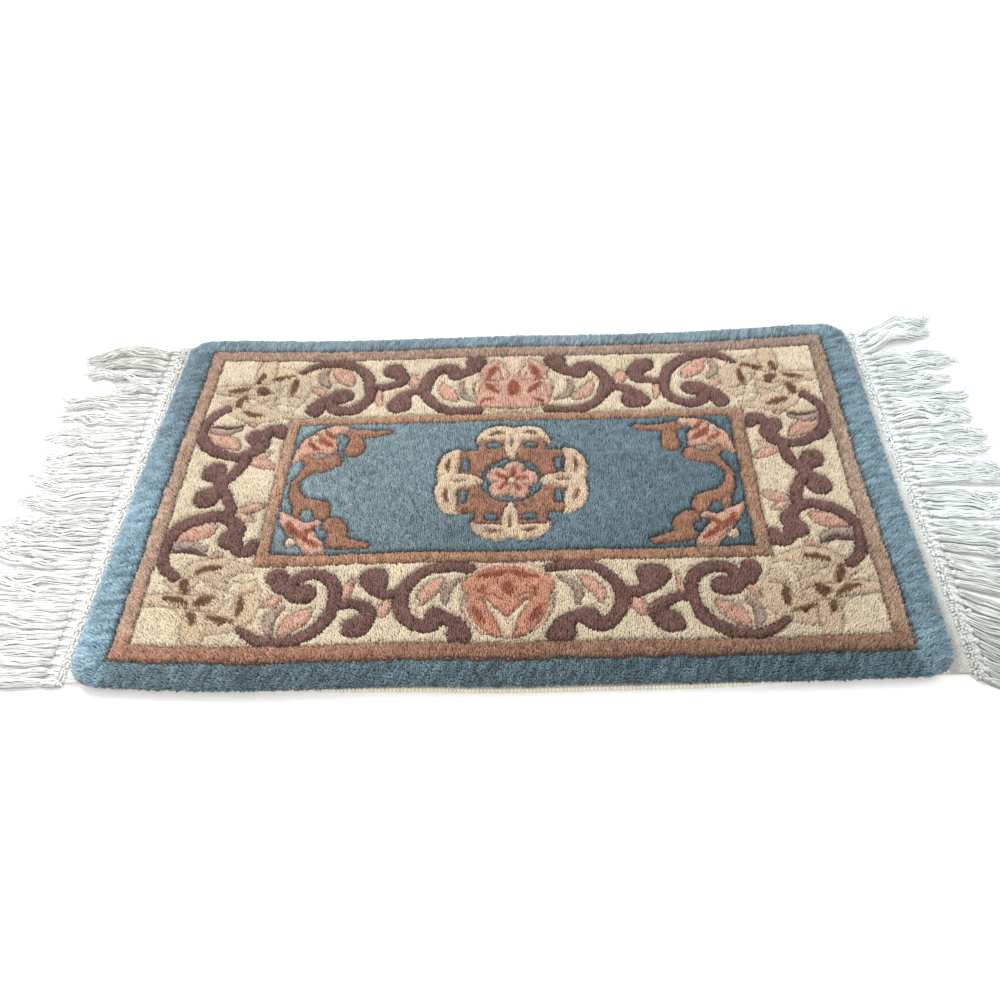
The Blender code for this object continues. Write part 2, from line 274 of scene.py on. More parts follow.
MIDDLE_FLOWER = (
    Stroke("salmon", BACK, ((0, 166, 84),)),
    Stroke("salmon", BACK, ((14, 160, 60), (28, 166, 48), (36, 176, 32))),
    Stroke("salmon", BACK, ((20, 176, 42), (27, 196, 38), (28, 210, 28), (24, 220, 14))),
    Stroke("salmon", BACK, ((0, 142, 24), (22, 142, 26), (40, 146, 18))),
    Stroke("blush", BACK, ((18, 219, 6), (15, 204, 8), (12, 190, 5))),
    Stroke("blush", BACK, ((48, 160, 5), (47, 176, 8), (42, 192, 5))),
    Stroke("ivory", BACK, ((0, 232, 30), (1, 220, 20), (2, 208, 12), (3, 194, 4))),
    Stroke("sand", BACK, ((0, 128, 6), (22, 129, 8), (40, 133, 6))),
    Stroke("brick", BACK, ((24, 213, 3), (29, 202, 8), (33, 191, 4))),
    Stroke("brick", BACK, ((0, 180, 7), (0, 170, 14), (0, 160, 12))),
    Stroke("brick", BACK, ((36, 178, 4), (29, 170, 7), (21, 161, 4))),
    Stroke("brick", BACK, ((27, 149, 2), (33, 146, 4), (40, 143, 2))),
    Stroke(CARVED, BACK, ((12, 186, 1), (26, 184, 1), (46, 188, 1))),
    Stroke("rose", FRONT, ((0, 184, 92),)),
    Stroke("rose", FRONT, ((20, 150, 44), (36, 157, 30))),
    Stroke("rose", FRONT, ((0, 142, 36), (18, 142, 34))),
    Stroke("blush", FRONT, ((0, 127, 7), (16, 128, 8), (30, 133, 7), (44, 141, 5))),
    Stroke("blush", FRONT, ((48, 170, 3), (47, 188, 6), (38, 208, 5), (24, 222, 3))),
    Stroke("ivory", FRONT, ((0, 222, 13), (2, 212, 15), (8, 201, 11), (15, 190, 8), (21, 181, 6))),
    Stroke("brick", FRONT, ((3, 139, 4), (13, 141, 8), (22, 143, 7), (32, 146, 4))),
    Stroke("brick", FRONT, ((0, 158, 7), (0, 163, 12), (0, 169, 6))),
    Stroke("brick", FRONT, ((27, 161, 3), (30, 165, 5))),
    Stroke("brick", FRONT, ((37, 189, 3), (32, 198, 7), (25, 208, 3))),
    Stroke(CARVED, FRONT, ((30, 176, 1), (20, 170, 1), (8, 176, 1))),
)

SPANDRELS = (
    Stroke("russet", BACK, ((206, 92, 17), (190, 89, 15), (172, 89, 12), (155, 92, 8))),
    Stroke("russet", BACK, ((203, 91, 15), (197, 78, 17), (197, 66, 23), (198, 59, 25))),
    Stroke("russet", BACK, ((222, 41, 24), (232, 38, 30), (242, 35, 22), (250, 26, 15), (257, 16, 12),
                            (263, 6, 10), (267, -4, 9))),
    Stroke("russet", BACK, ((252, 44, 18), (262, 44, 12))),
    Stroke("salmon", BACK, ((214, 98, 13), (228, 96, 18), (242, 87, 24), (254, 74, 24), (264, 58, 16),
                            (271, 42, 7))),
    Stroke("salmon", BACK, ((225, 64, 20), (236, 70, 36), (248, 62, 22))),
    Stroke("blue", BACK, ((263, 39, 9), (265, 29, 13), (267, 21, 8))),
    Stroke("blue", BACK, ((214, 80, 9), (213, 70, 12), (215, 59, 7))),
    Stroke("mauve", BACK, ((232, 50, 8), (239, 49, 11), (245, 48, 6))),
    Stroke("brick", BACK, ((238, 96, 2), (233, 88, 5), (226, 81, 3))),
    Stroke("brick", BACK, ((247, 83, 3), (238, 76, 7), (227, 67, 4))),
    Stroke("brick", BACK, ((257, 73, 3), (250, 68, 4), (245, 62, 3))),
    Stroke("ivory", BACK, ((251, 85, 12),)),
    Stroke("russet", FRONT, ((263, -3, 10), (261, 10, 13), (257, 20, 17), (250, 30, 20), (238, 34, 22),
                             (226, 39, 24), (222, 48, 19))),
    Stroke("russet", FRONT, ((253, 38, 14), (254, 49, 9))),
    Stroke("russet", FRONT, ((208, 65, 24), (203, 76, 31), (203, 88, 21))),
    Stroke("russet", FRONT, ((198, 90, 18), (186, 93, 16), (176, 95, 13), (165, 96, 9))),
    Stroke("salmon", FRONT, ((272, 45, 5), (264, 55, 14), (254, 64, 22), (244, 74, 27), (234, 87, 25),
                             (222, 103, 23))),
    Stroke("salmon", FRONT, ((238, 66, 16), (228, 62, 12))),
    Stroke("blue", FRONT, ((241, 48, 15),)),
    Stroke("blue", FRONT, ((217, 79, 14),)),
    Stroke("brick", FRONT, ((260, 62, 3), (254, 72, 6), (244, 80, 5), (237, 83, 3))),
    Stroke("brick", FRONT, ((243, 78, 3), (236, 73, 5), (230, 67, 3))),
    Stroke("brick", FRONT, ((240, 85, 3), (231, 91, 5), (222, 96, 3))),
    Stroke("ivory", FRONT, ((254, 90, 13),)),
)

MEDALLION_HEADS = (
    Stroke("wheat", OCTANT, ((76, 0, 25), (79, 14, 26), (78, 28, 26), (74, 40, 22), (66, 50, 11))),
)
MEDALLION_SPEARS = (
    Stroke("blue", OCTANT, ((57, 21, 10), (57, 33, 10))),
    Stroke("wheat", OCTANT, ((76, 0, 26), (64, 0, 25), (54, 0, 22), (46, 0, 17), (39, 0, 9))),
    Stroke("umber", OCTANT, ((78, 15, 1), (79, 24, 3.5), (76, 34, 1.5))),
    Stroke("fawn", OCTANT, ((71, 0, 3), (63, 0, 4.5), (56, 0, 3))),
)

# %% [markdown]
# ## From strokes to knots
# Each knot asks two things of the pattern: which wool it is, and how near the next carved line
# runs. A stroke is a row of overlapping discs, so the distance to it is the least distance to
# any disc. Strokes are laid in order, and each one covers what is under it.

# %% distances
LEVEL_STEP = 1.4
REACH = 9.0


def smooth_rows(rows):
    """The stroke's rows with points added between them on a smooth curve."""
    rows = np.array(rows, float)
    if len(rows) < 2:
        return rows
    padded = np.vstack([2 * rows[0] - rows[1], rows, 2 * rows[-1] - rows[-2]])
    points = [rows[:1]]
    for before, here, ahead, after in zip(padded, padded[1:], padded[2:], padded[3:]):
        count = max(2, int(np.hypot(*(ahead - here)[:2]) / LEVEL_STEP))
        t = np.linspace(0, 1, count + 1)[1:, None]
        points.append(0.5 * (2 * here + (ahead - before) * t
                             + (2 * before - 5 * here + 4 * ahead - after) * t**2
                             + (3 * here - before - 3 * ahead + after) * t**3))
    return np.vstack(points)


def stroke_distance(x, y, rows):
    """Distance from each knot to a stroke's outline, negative inside it."""
    far = np.full(x.shape, 99.0)
    discs = smooth_rows(rows)
    half = discs[:, 2] / 2
    low = (discs[:, :2] - half[:, None]).min(0) - REACH
    high = (discs[:, :2] + half[:, None]).max(0) + REACH
    near = (x > low[0]) & (x < high[0]) & (y > low[1]) & (y < high[1])
    px, py, best = x[near], y[near], far[near]
    for (cx, cy, width) in discs:
        best = np.minimum(best, np.hypot(px - cx, py - cy) - width / 2)
    far[near] = best
    return far


def box_distance(x, y, half_x, half_y):
    """Distance to a rectangle's outline about the middle, negative inside it."""
    dx, dy = np.abs(x) - half_x, np.abs(y) - half_y
    return np.hypot(np.maximum(dx, 0), np.maximum(dy, 0)) + np.minimum(np.maximum(dx, dy), 0)


# %% laying on the wools
WOOLS = ("blue", "tan", "cream", "plum", "salmon", "rose", "brick", "sand", "umber", "mauve",
         "ivory", "blush", "russet", "rust", "fawn", "wheat")
HALF_TONES = {"brick": "rust", "umber": "fawn"}
HALF_TONE_EDGE = 2.0
KINDRED = (("salmon", "rose", "blush"), ("sand", "cream", "ivory"), ("wheat", "fawn"))
KINDRED_DEPTH = 1.0
Chart = namedtuple("Chart", "wool groove")


def lay_on(chart, distance, colour):
    """One layer: it covers what is under it. Its outline is carved, shallowly against a kindred
    wool, or only shaded by a half tone."""
    if colour == CARVED:
        chart.groove[:] = np.minimum(chart.groove, np.abs(distance) + 0.8)
        return
    if colour in HALF_TONES:
        chart.wool[distance < HALF_TONE_EDGE] = WOOLS.index(HALF_TONES[colour])
        chart.wool[distance < 0] = WOOLS.index(colour)
        return
    inside = distance < 0
    same = chart.wool == WOOLS.index(colour)
    family = [WOOLS.index(name) for names in KINDRED if colour in names for name in names]
    edge = np.abs(distance) + KINDRED_DEPTH * np.isin(chart.wool, family)
    over_same = np.where(inside, np.maximum(chart.groove, -distance), chart.groove)
    over_other = np.where(inside, edge, np.minimum(chart.groove, edge))
    chart.groove[:] = np.where(same, over_same, over_other)
    chart.wool[inside] = WOOLS.index(colour)

# %% the whole chart
LinePlan = namedtuple("LinePlan", "left right back front drawn_x drawn_y")
LINE_PLAN = (
    LinePlan(left=0, right=0, back=0, front=0, drawn_x=0, drawn_y=0),
    LinePlan(left=271, right=280, back=109, front=107, drawn_x=275, drawn_y=108),
    LinePlan(left=286, right=298, back=122, front=123, drawn_x=291, drawn_y=122),
    LinePlan(left=401, right=403, back=237.5, front=231, drawn_x=401, drawn_y=235),
    LinePlan(left=420, right=422, back=256.5, front=251, drawn_x=420, drawn_y=254),
    LinePlan(left=457, right=457, back=283, front=283, drawn_x=457, drawn_y=283),
)
ScrollPlan = namedtuple("ScrollPlan", "left right drawn_x")
SCROLL_PLAN = (
    ScrollPlan(0, 0, 0), ScrollPlan(50, 64, 50), ScrollPlan(78, 96, 80), ScrollPlan(113, 126, 115),
    ScrollPlan(143, 161, 144), ScrollPlan(161, 182, 158), ScrollPlan(190, 206, 190),
    ScrollPlan(224, 242, 222), ScrollPlan(256, 272, 258), ScrollPlan(286, 298, 291),
    ScrollPlan(401, 403, 401), ScrollPlan(457, 457, 457),
)
AXIS_X, AXIS_Y = 4.0, 3.0


def drawn(value, axis, plan_rows, low, high, drawn_to):
    """Stretches one side of the rug on to the drawn quarter, line by line."""
    plan = {name: [getattr(line, name) for line in plan_rows] for name in (low, high, drawn_to)}
    lows = np.array(plan[low], float)
    highs = np.array(plan[high], float)
    lows[0], highs[0] = -axis, axis
    return np.where(value > axis, np.interp(value, highs, plan[drawn_to]),
                    np.interp(-value, lows, plan[drawn_to]))


def spoke(turn, *steps):
    """A stroke straight out from the middle: its steps are (distance out, width)."""
    return tuple((out * cos(turn), out * sin(turn), width) for out, width in steps)


def line_distance(u, v, number):
    """Distance to one of the straight lines of the plan, negative inside it."""
    return box_distance(u, v, LINE_PLAN[number].drawn_x, LINE_PLAN[number].drawn_y)


def lay_strokes(chart, u, v, y, strokes):
    sides = {QUARTER: u >= 0, BACK: y > AXIS_Y, FRONT: y <= AXIS_Y}
    for stroke in strokes:
        here = sides[stroke.where]
        part = Chart(chart.wool[here], chart.groove[here])
        lay_on(part, stroke_distance(u[here], v[here], stroke.rows), stroke.colour)
        chart.wool[here], chart.groove[here] = part


def chart_of(x, y):
    """Wool and nearness to a carved line for each place on the rug."""
    u = drawn(x, AXIS_X, LINE_PLAN, "left", "right", "drawn_x")
    v = drawn(y, AXIS_Y, LINE_PLAN, "front", "back", "drawn_y")
    scroll_u = drawn(x, AXIS_X, SCROLL_PLAN, "left", "right", "drawn_x")
    chart = Chart(np.full(x.shape, WOOLS.index("cream")), np.full(x.shape, 99.0))
    lay_strokes(chart, scroll_u, v, y, LEAVES)
    lay_strokes(chart, u, v, y, CORNER_FLOWER + MIDDLE_FLOWER)
    lay_strokes(chart, scroll_u, v, y, SCROLLS)
    lay_on(chart, -line_distance(u, v, 3), "tan")
    lay_on(chart, -line_distance(u, v, 4), "blue")
    lay_on(chart, line_distance(u, v, 2), "tan")
    lay_on(chart, line_distance(u, v, 1), "blue")
    lay_strokes(chart, u, v, y, SPANDRELS)
    lay_on(chart, np.maximum(line_distance(u, v, 2), -line_distance(u, v, 1)), "tan")
    lay_medallion(chart, x - AXIS_X - 2, y - AXIS_Y)
    return chart


def lay_medallion(chart, x, y):
    """Four cream heads on spears, a tan lattice behind them, and a flower in the ring."""
    upright = np.abs(y) > np.abs(x)
    u = np.where(upright, np.abs(y) - 3, np.abs(x))
    v = np.where(upright, np.abs(x) * 1.18, np.abs(y))
    for stroke in MEDALLION_HEADS:
        lay_on(chart, stroke_distance(u, v, stroke.rows), stroke.colour)
    lattice = np.minimum(box_distance(x, y, 59, 47), box_distance(x, y, 38, 65)) - 5
    lay_on(chart, lattice, "russet")
    lay_on(chart, np.hypot(x, y) - 37, "blue")
    for stroke in MEDALLION_SPEARS:
        lay_on(chart, stroke_distance(u, v, stroke.rows), stroke.colour)
    turns = [0.17 + petal * 2 * pi / 5 for petal in range(5)]
    for turn in turns:
        lay_on(chart, stroke_distance(x, y, spoke(turn, (12, 27), (19, 28))), "salmon")
    for turn in turns:
        lay_on(chart, stroke_distance(x, y, spoke(turn + pi / 5, (19, 1), (30, 1))), CARVED)
        lay_on(chart, stroke_distance(x, y, spoke(turn, (8, 3), (13, 5), (20, 2))), "brick")
    lay_on(chart, np.hypot(x, y) - 5.5, "ivory")

# %% [markdown]
# ## The dyed wools
# Dye never takes evenly, so each tuft gets a slightly different shade of its wool. The
# shades below are what the eye sees on a screen. A shader works in linear light, so they are
# turned into that first. Tufts shade each other, which darkens the whole pile, so the dyes are
# paler than the rug looks.

# %% wool colours
DYES = {
    "blue": (126, 147, 156), "tan": (183, 150, 127), "cream": (237, 219, 190),
    "plum": (131, 97, 90), "salmon": (226, 179, 157), "rose": (217, 156, 129),
    "brick": (162, 92, 73), "sand": (224, 200, 170), "umber": (118, 87, 67),
    "mauve": (191, 165, 150), "ivory": (247, 219, 190), "blush": (244, 203, 178),
    "russet": (173, 128, 105), "rust": (188, 127, 104), "fawn": (182, 151, 125),
    "wheat": (236, 209, 180),
}


def linear(red, green, blue):
    """A screen colour, 0 to 255 a channel, in linear light."""
    return (np.array([red, green, blue]) / 255.0) ** 2.2


dye_table = np.array([linear(*DYES[name]) for name in WOOLS])
print("dyes:", ", ".join(WOOLS))

# %% [markdown]
# ## The wool finish
# Each tuft carries its own colour in an attribute called tint. The finish only adds what a
# fibre does: it is dull, it has a soft sheen at grazing angles, and fine crimped hairs run up
# and down it. The hairs are a noise on Object coordinates that is squeezed along two axes and
# stretched along the third, used once for colour and once as a bump.

# %% fibre finish
def wire(tree, kind, **inputs):
    """Adds a node and sets or links its inputs by name."""
    node = tree.nodes.new(kind)
    for name, value in inputs.items():
        socket = node.inputs[name.replace("_", " ")]
        if isinstance(value, bpy.types.NodeSocket):
            tree.links.new(value, socket)
        else:
            socket.default_value = value
    return node


def mixed(tree, blend, factor, first, second):
    """Mixes two colours."""
    node = tree.nodes.new("ShaderNodeMix")
    node.data_type = "RGBA"
    node.blend_type = blend
    node.clamp_result = True
    for socket, value in zip((node.inputs[0], node.inputs[6], node.inputs[7]), (factor, first, second)):
        if isinstance(value, bpy.types.NodeSocket):
            tree.links.new(value, socket)
        else:
            socket.default_value = value
    return node.outputs[2]


def start_material(name, roughness, sheen, specular):
    material = bpy.data.materials.new(name)
    material.use_nodes = True
    shader = material.node_tree.nodes["Principled BSDF"]
    shader.inputs["Roughness"].default_value = roughness
    shader.inputs["Sheen Weight"].default_value = sheen
    shader.inputs["Sheen Roughness"].default_value = 0.45
    shader.inputs["Specular IOR Level"].default_value = specular
    return material, material.node_tree, shader


def fibre_material(name, hairs, dark, bump_depth, roughness, sheen):
    """Dull fibre: the tint attribute, streaked and roughened by fine hairs."""
    material, tree, shader = start_material(name, roughness, sheen, 0.15)
    tint = wire(tree, "ShaderNodeAttribute")
    tint.attribute_name = "tint"
    place = wire(tree, "ShaderNodeTexCoord")
    stretch = wire(tree, "ShaderNodeMapping", Vector=place.outputs["Object"], Scale=hairs)
    hair = wire(tree, "ShaderNodeTexNoise", Vector=stretch.outputs["Vector"], Scale=1.0, Detail=3.0)
    streak = wire(tree, "ShaderNodeMapRange", Value=hair.outputs["Fac"], From_Min=0.32, From_Max=0.68)
    shade = mixed(tree, "MIX", streak.outputs["Result"], (dark, dark, dark, 1.0), (1.0, 1.0, 1.0, 1.0))
    colour = mixed(tree, "MULTIPLY", 1.0, tint.outputs["Color"], shade)
    relief = wire(tree, "ShaderNodeBump", Height=hair.outputs["Fac"], Strength=0.6, Distance=bump_depth)
    tree.links.new(colour, shader.inputs["Base Color"])
    tree.links.new(relief.outputs["Normal"], shader.inputs["Normal"])
    return material


wool = fibre_material("wool fibre", (1100.0, 1100.0, 260.0), 0.72, 0.0006, 0.9, 0.35)
print("finish:", wool.name)

# %% [markdown]
# ## One form, many copies
# Thousands of tufts can't each be modelled. One form is modelled with bmesh, with as few faces
# as its shape needs, and its copies are joined in one mesh. Only the points differ from copy to
# copy, so a copy can be moved, turned, leaned or bent, while its faces are the form's own.
#
# Each copy also gets a square cell of its own in a map called OFBake, so that colour can later
# be stored for every tuft apart.

# %% forms and copies
Form = namedtuple("Form", "points faces cells")


def form_of(bm, cell_rule):
    """Reads a finished bmesh as arrays. The rule gives each face corner its place in the cell."""
    bmesh.ops.triangulate(bm, faces=bm.faces)
    bmesh.ops.recalc_face_normals(bm, faces=bm.faces)
    bm.verts.index_update()
    points = np.array([vert.co for vert in bm.verts])
    faces = np.array([[vert.index for vert in face.verts] for face in bm.faces])
    cells = np.array([[cell_rule(face, vert.co) for vert in face.verts] for face in bm.faces])
    bm.free()
    return Form(points, faces, cells)


def cell_map(form, copies, columns):
    """The form's cell repeated in a grid, one cell a copy."""
    rows = -(-copies // columns)
    number = np.arange(copies)
    corner = np.stack([number % columns, number // columns], axis=1)[:, None, None, :]
    return (corner + form.cells[None]) / np.array([columns, rows])


def make_copies(name, form, points, tints, material, columns=None):
    """One mesh from all the copies. Points are (copies, form points, 3)."""
    copies, corners = points.shape[:2]
    columns = columns or int(np.ceil(np.sqrt(copies)))
    faces = form.faces[None] + corners * np.arange(copies)[:, None, None]
    mesh = bpy.data.meshes.new(name)
    mesh.vertices.add(copies * corners)
    mesh.vertices.foreach_set("co", points.astype(np.float32).ravel())
    mesh.loops.add(faces.size)
    mesh.loops.foreach_set("vertex_index", faces.astype(np.int32).ravel())
    mesh.polygons.add(faces.size // 3)
    mesh.polygons.foreach_set("loop_start", np.arange(0, faces.size, 3, dtype=np.int32))
    mesh.polygons.foreach_set("use_smooth", np.ones(faces.size // 3, dtype=bool))
    mesh.update(calc_edges=True)
    tint = mesh.color_attributes.new("tint", "FLOAT_COLOR", "POINT")
    shades = np.ones((copies, corners, 4), np.float32)
    shades[..., :3] = np.clip(tints, 0.0, 0.95)
    tint.data.foreach_set("color", shades.ravel())
    layer = mesh.uv_layers.new(name="OFBake")
    layer.data.foreach_set("uv", cell_map(form, copies, columns).astype(np.float32).ravel())
    mesh.materials.append(material)
    piece = bpy.data.objects.new(name, mesh)
    scene.collection.objects.link(piece)
    print(f"{name}: {copies} copies, {faces.size // 3} triangles")
    return piece

# %% [markdown]
# ## A tuft
# A knot leaves two cut ends of yarn, and each end is one tuft. Packed as tightly as they are,
# only the tips show, so a tuft is a four-sided spike: wide at its foot, where it runs into its
# neighbours, and fine at its tip. Six triangles are enough, which lets the rug have a hundred
# thousand of them.

# %% the tuft form
def tuft_cell(face, place):
    """The foot's ring round the tip in the middle, and the unseen foot folded into a corner."""
    if face.normal.z < -0.9:
        return (0.05 + 0.06 * place.x, 0.05 + 0.06 * place.y)
    return (0.5 + 0.9 * place.x, 0.5 + 0.9 * place.y)


def make_tuft_form():
    bm = bmesh.new()
    bmesh.ops.create_cone(bm, cap_ends=True, segments=4, radius1=0.5, radius2=0.0, depth=1.0)
    bmesh.ops.translate(bm, verts=bm.verts, vec=(0.0, 0.0, 0.5))
    bmesh.ops.remove_doubles(bm, verts=bm.verts, dist=0.001)
    return form_of(bm, tuft_cell)


tuft = make_tuft_form()
print("tuft:", len(tuft.points), "points and", len(tuft.faces), "triangles")

# %% [markdown]
# ## Planting the tufts
# A tuft stands on the ground, and its tip is moved sideways by its lean. It is spun by a chance
# angle, so that neighbours never look alike. Its foot is in the shade of the others, so its
# colour darkens downwards.

# %% planting
FOOT_SHADE, TIP_SHADE = 0.26, 1.0


def plant(form, x, y, foot, height, wide, lean_x, lean_y, turn):
    """Points of every tuft: the form spun, sized, leaned and moved to its place."""
    local = form.points[None]
    spin_x = local[..., 0] * np.cos(turn)[:, None] - local[..., 1] * np.sin(turn)[:, None]
    spin_y = local[..., 0] * np.sin(turn)[:, None] + local[..., 1] * np.cos(turn)[:, None]
    up = np.broadcast_to(local[..., 2], spin_x.shape)
    return np.stack([
        x[:, None] + spin_x * wide[:, None] + lean_x[:, None] * up,
        y[:, None] + spin_y * wide[:, None] + lean_y[:, None] * up,
        foot[:, None] + up * height[:, None],
    ], axis=-1)


def tuft_tints(form, colours):
    """Each tuft's colour at every point of the form, darker towards its foot."""
    shade = FOOT_SHADE + (TIP_SHADE - FOOT_SHADE) * form.points[:, 2]
    return colours[:, None, :] * shade[None, :, None]


def patches(x, y, size_x, size_y, chance):
    """Soft chance patches of the given size: one number from a bell curve at each place."""
    column = (x - x.min()) / size_x
    row = (y - y.min()) / size_y
    table = chance.normal(size=(int(column.max()) + 2, int(row.max()) + 2))
    i, j = column.astype(int), row.astype(int)
    part_x, part_y = column - i, row - j
    part_x, part_y = (part * part * (3 - 2 * part) for part in (part_x, part_y))
    near = table[i, j] * (1 - part_x) + table[i + 1, j] * part_x
    far = table[i, j + 1] * (1 - part_x) + table[i + 1, j + 1] * part_x
    return near * (1 - part_y) + far * part_y

# %% [markdown]
# ## Knotting the pile
# Knots are tied row by row, and each row runs across the rug, which leaves fine ribs from front
# to back. Near an outline the shears take the tips down, first gently, so that every motif
# swells like a cushion, and then in a narrow groove. At the rug's edge the last tufts are lower
# and lean out. No weaver ties every knot where the cartoon has it, so each knot looks up its
# wool a little off its true place, and the outlines come out a touch uneven.

# %% the knots
TUFT_PITCH = 2.15 * MM
RIB_PITCH = 4.3 * MM
FOOT_HEIGHT = 3.9 * MM
SWELL_DEPTH, SWELL_REACH = 2.0 * MM, 7.0
GROOVE_DEPTH, GROOVE_REACH = 3.0 * MM, 2.5
EDGE_MARGIN = 1.6 * MM
EDGE_ROUND = ((0.0, 6.5), (2.5, 3.6), (6.0, 1.7), (12.0, 0.5), (20.0, 0.0))


def rounded_edge(x, y):
    """How far a place on the true rectangle lies outside its rounded outline, in metres."""
    inner_x, inner_y = PILE_LENGTH / 2 - PILE_CORNER, PILE_WIDTH / 2 - PILE_CORNER
    return box_distance(x, y, inner_x, inner_y) - PILE_CORNER


def tuft_places(chance):
    rows = np.arange(-PILE_LENGTH / 2, PILE_LENGTH / 2, TUFT_PITCH) + TUFT_PITCH / 2
    knots = np.arange(-PILE_WIDTH / 2, PILE_WIDTH / 2, TUFT_PITCH) + TUFT_PITCH / 2
    x, y = (grid.ravel() for grid in np.meshgrid(rows, knots, indexing="ij"))
    x = x + chance.uniform(-0.32, 0.32, x.shape) * TUFT_PITCH
    y = y + chance.uniform(-0.45, 0.45, y.shape) * TUFT_PITCH
    inside = rounded_edge(x, y) < -EDGE_MARGIN
    return x[inside], y[inside]


chance = np.random.default_rng(1920)
tuft_x, tuft_y = tuft_places(chance)
WANDER, SLIP = 0.7, 0.6
chart_x = (tuft_x / MM + WANDER * patches(tuft_x, tuft_y, 0.016, 0.016, chance)
           + SLIP * chance.normal(size=tuft_x.shape))
chart_y = (tuft_y / MM + WANDER * patches(tuft_x, tuft_y, 0.016, 0.016, chance)
           + SLIP * chance.normal(size=tuft_x.shape))
chart = chart_of(chart_x, chart_y)
print(len(tuft_x), "tufts")

# %% heights, leans and shades of the tufts
def outward(x, y):
    """Direction from the rug's middle line out over the nearest edge."""
    nudge = 0.5 * MM
    slope_x = rounded_edge(x + nudge, y) - rounded_edge(x - nudge, y)
    slope_y = rounded_edge(x, y + nudge) - rounded_edge(x, y - nudge)
    length = np.maximum(np.hypot(slope_x, slope_y), 1e-9)
    return slope_x / length, slope_y / length


def locks(x, y, chance):
    """Shade of the locks: upright ribs inside, combed outwards along the border."""
    inside = patches(x, y, 0.0030, 0.0046, chance)
    at_ends = patches(x, y - 0.35 * x, 0.0100, 0.0026, chance)
    at_sides = patches(x - 0.45 * y, y, 0.0026, 0.0100, chance)
    past_x, past_y = np.abs(x) - 0.420, np.abs(y) - 0.252
    in_border = np.maximum(past_x, past_y) > 0
    combed = 1.8 * np.where(past_x > past_y, at_ends, at_sides)
    return np.where(in_border, combed, inside)


def dye(wool_numbers, x, y, chance):
    """The wool's colour, uneven from patch to patch, from lock to lock and tuft to tuft."""
    count = len(wool_numbers)
    pale = np.isin(wool_numbers, [WOOLS.index(name) for name in ("cream", "ivory", "sand")])
    mottled = np.isin(wool_numbers, [WOOLS.index(name) for name in ("plum", "tan", "russet", "blue")])
    calm = np.where(pale, 0.7, np.where(mottled, 1.6, 1.1))
    shade = (1.0 + 0.05 * patches(x, y, 0.07, 0.05, chance)
             + calm * (0.11 * locks(x, y, chance) + 0.065 * chance.normal(size=count)))
    hue = 1.0 + 0.025 * chance.normal(size=(count, 3))
    return dye_table[wool_numbers] * np.clip(shade, 0.6, 1.5)[:, None] * hue


# From here down to the tan stripes the wool's colour changes with its place on the rug. This is
# painted light and shade: the numbers are fitted to how the rug looks from the front, so the light
# and shade of that view and the tint of its light are in the wool. In other light these shades make
# the rug look unevenly dyed.
def in_field(x, y):
    """One in the plain field, falling to nothing under the inner stripe."""
    return np.clip((0.290 - np.abs(x)) / 0.010, 0.0, 1.0) * np.clip((0.118 - np.abs(y)) / 0.010, 0.0, 1.0)


# Painted light and shade, in parts of one: the border's left side lighter in front and darker behind, its
# right side lighter, its front darker towards the right, its back darker towards the left, a painted
# highlight along the left rim, and on the flowered border painted light at the front left and painted shade
# at the front right. The two hues give the painted light a cooler tint at the ends and at the front right.
LEFT_BASE, LEFT_SLOPE, LEFT_LEAST, LEFT_MOST, LEFT_MIDDLE, LEFT_RIM = 0.16, 2.2, -0.22, 0.75, 0.10, 0.22
RIGHT_BASE, RIGHT_SLOPE, RIGHT_MIDDLE = 0.16, 0.1, 0.26
FRONT_BASE, FRONT_SLOPE = -0.11, 0.47
BACK_BASE, BACK_SLOPE, BACK_LEVEL_FROM = -0.06, 0.40, 0.04
INNER_LEFT_SHADES = (-0.07, 0.0, 0.19)
INNER_RIGHT_SHADE = -0.08
ENDS_HUE = np.array([-0.06, 0.01, 0.06])
FRONT_HUE = np.array([-0.10, 0.0, 0.02])


def border_painted_light(x, y):
    """Painted light and shade for each side of the blue border, a weaker one for the flowered border, and a
    painted highlight along the left rim.
    """
    left, right = (np.clip((side * x - 0.412) / 0.014, 0.0, 1.0) for side in (-1, 1))
    ends = np.maximum(left, right)
    front, back = (np.clip((side * y - 0.240) / 0.018, 0.0, 1.0) * (1 - ends) for side in (-1, 1))
    middle = np.clip(1.0 - np.abs(y) / 0.14, 0.0, 1.0)
    shade = (1.0 + left * (np.clip(LEFT_BASE - LEFT_SLOPE * y, LEFT_LEAST, LEFT_MOST)
                           + LEFT_MIDDLE * middle)
             + right * (RIGHT_BASE - RIGHT_SLOPE * y + RIGHT_MIDDLE * middle)
             + front * (FRONT_BASE - FRONT_SLOPE * x)
             + back * (BACK_BASE + BACK_SLOPE * np.minimum(x, BACK_LEVEL_FROM)))
    shade = shade + LEFT_RIM * left * np.clip((-x - 0.435) / 0.02, 0.0, 1.0)
    leftward, forward = np.clip(-x / 0.38, -1.0, 1.0), np.clip(-y / 0.20, -1.0, 1.0)
    inner_left = np.interp(leftward * forward, (-1, 0, 1), INNER_LEFT_SHADES) * (leftward > 0)
    inner_right = INNER_RIGHT_SHADE * np.clip(-leftward * forward, 0.0, 1.0) * (leftward < 0)
    inner = (inner_left + inner_right) * (1 - ends) * (1 - front) * (1 - back)
    shade = shade + inner * (1 - in_field(x, y))
    hue = ends[:, None] * ENDS_HUE + (front * np.clip(4 * x, 0, 1))[:, None] * FRONT_HUE
    return shade[:, None] * (1.0 + hue)


def field_painted_light(wool_numbers, x, y):
    """Painted light and shade on the field's blue: darker and bluer to the right, and darker in front."""
    here = (wool_numbers == WOOLS.index("blue")) * in_field(x, y)
    shade = 1.0 + here * (-1.05 * x + np.minimum(y, 0.0))
    return shade[:, None] * (1.0 + (here * x)[:, None] * np.array([-0.24, 0.0, 0.2]))
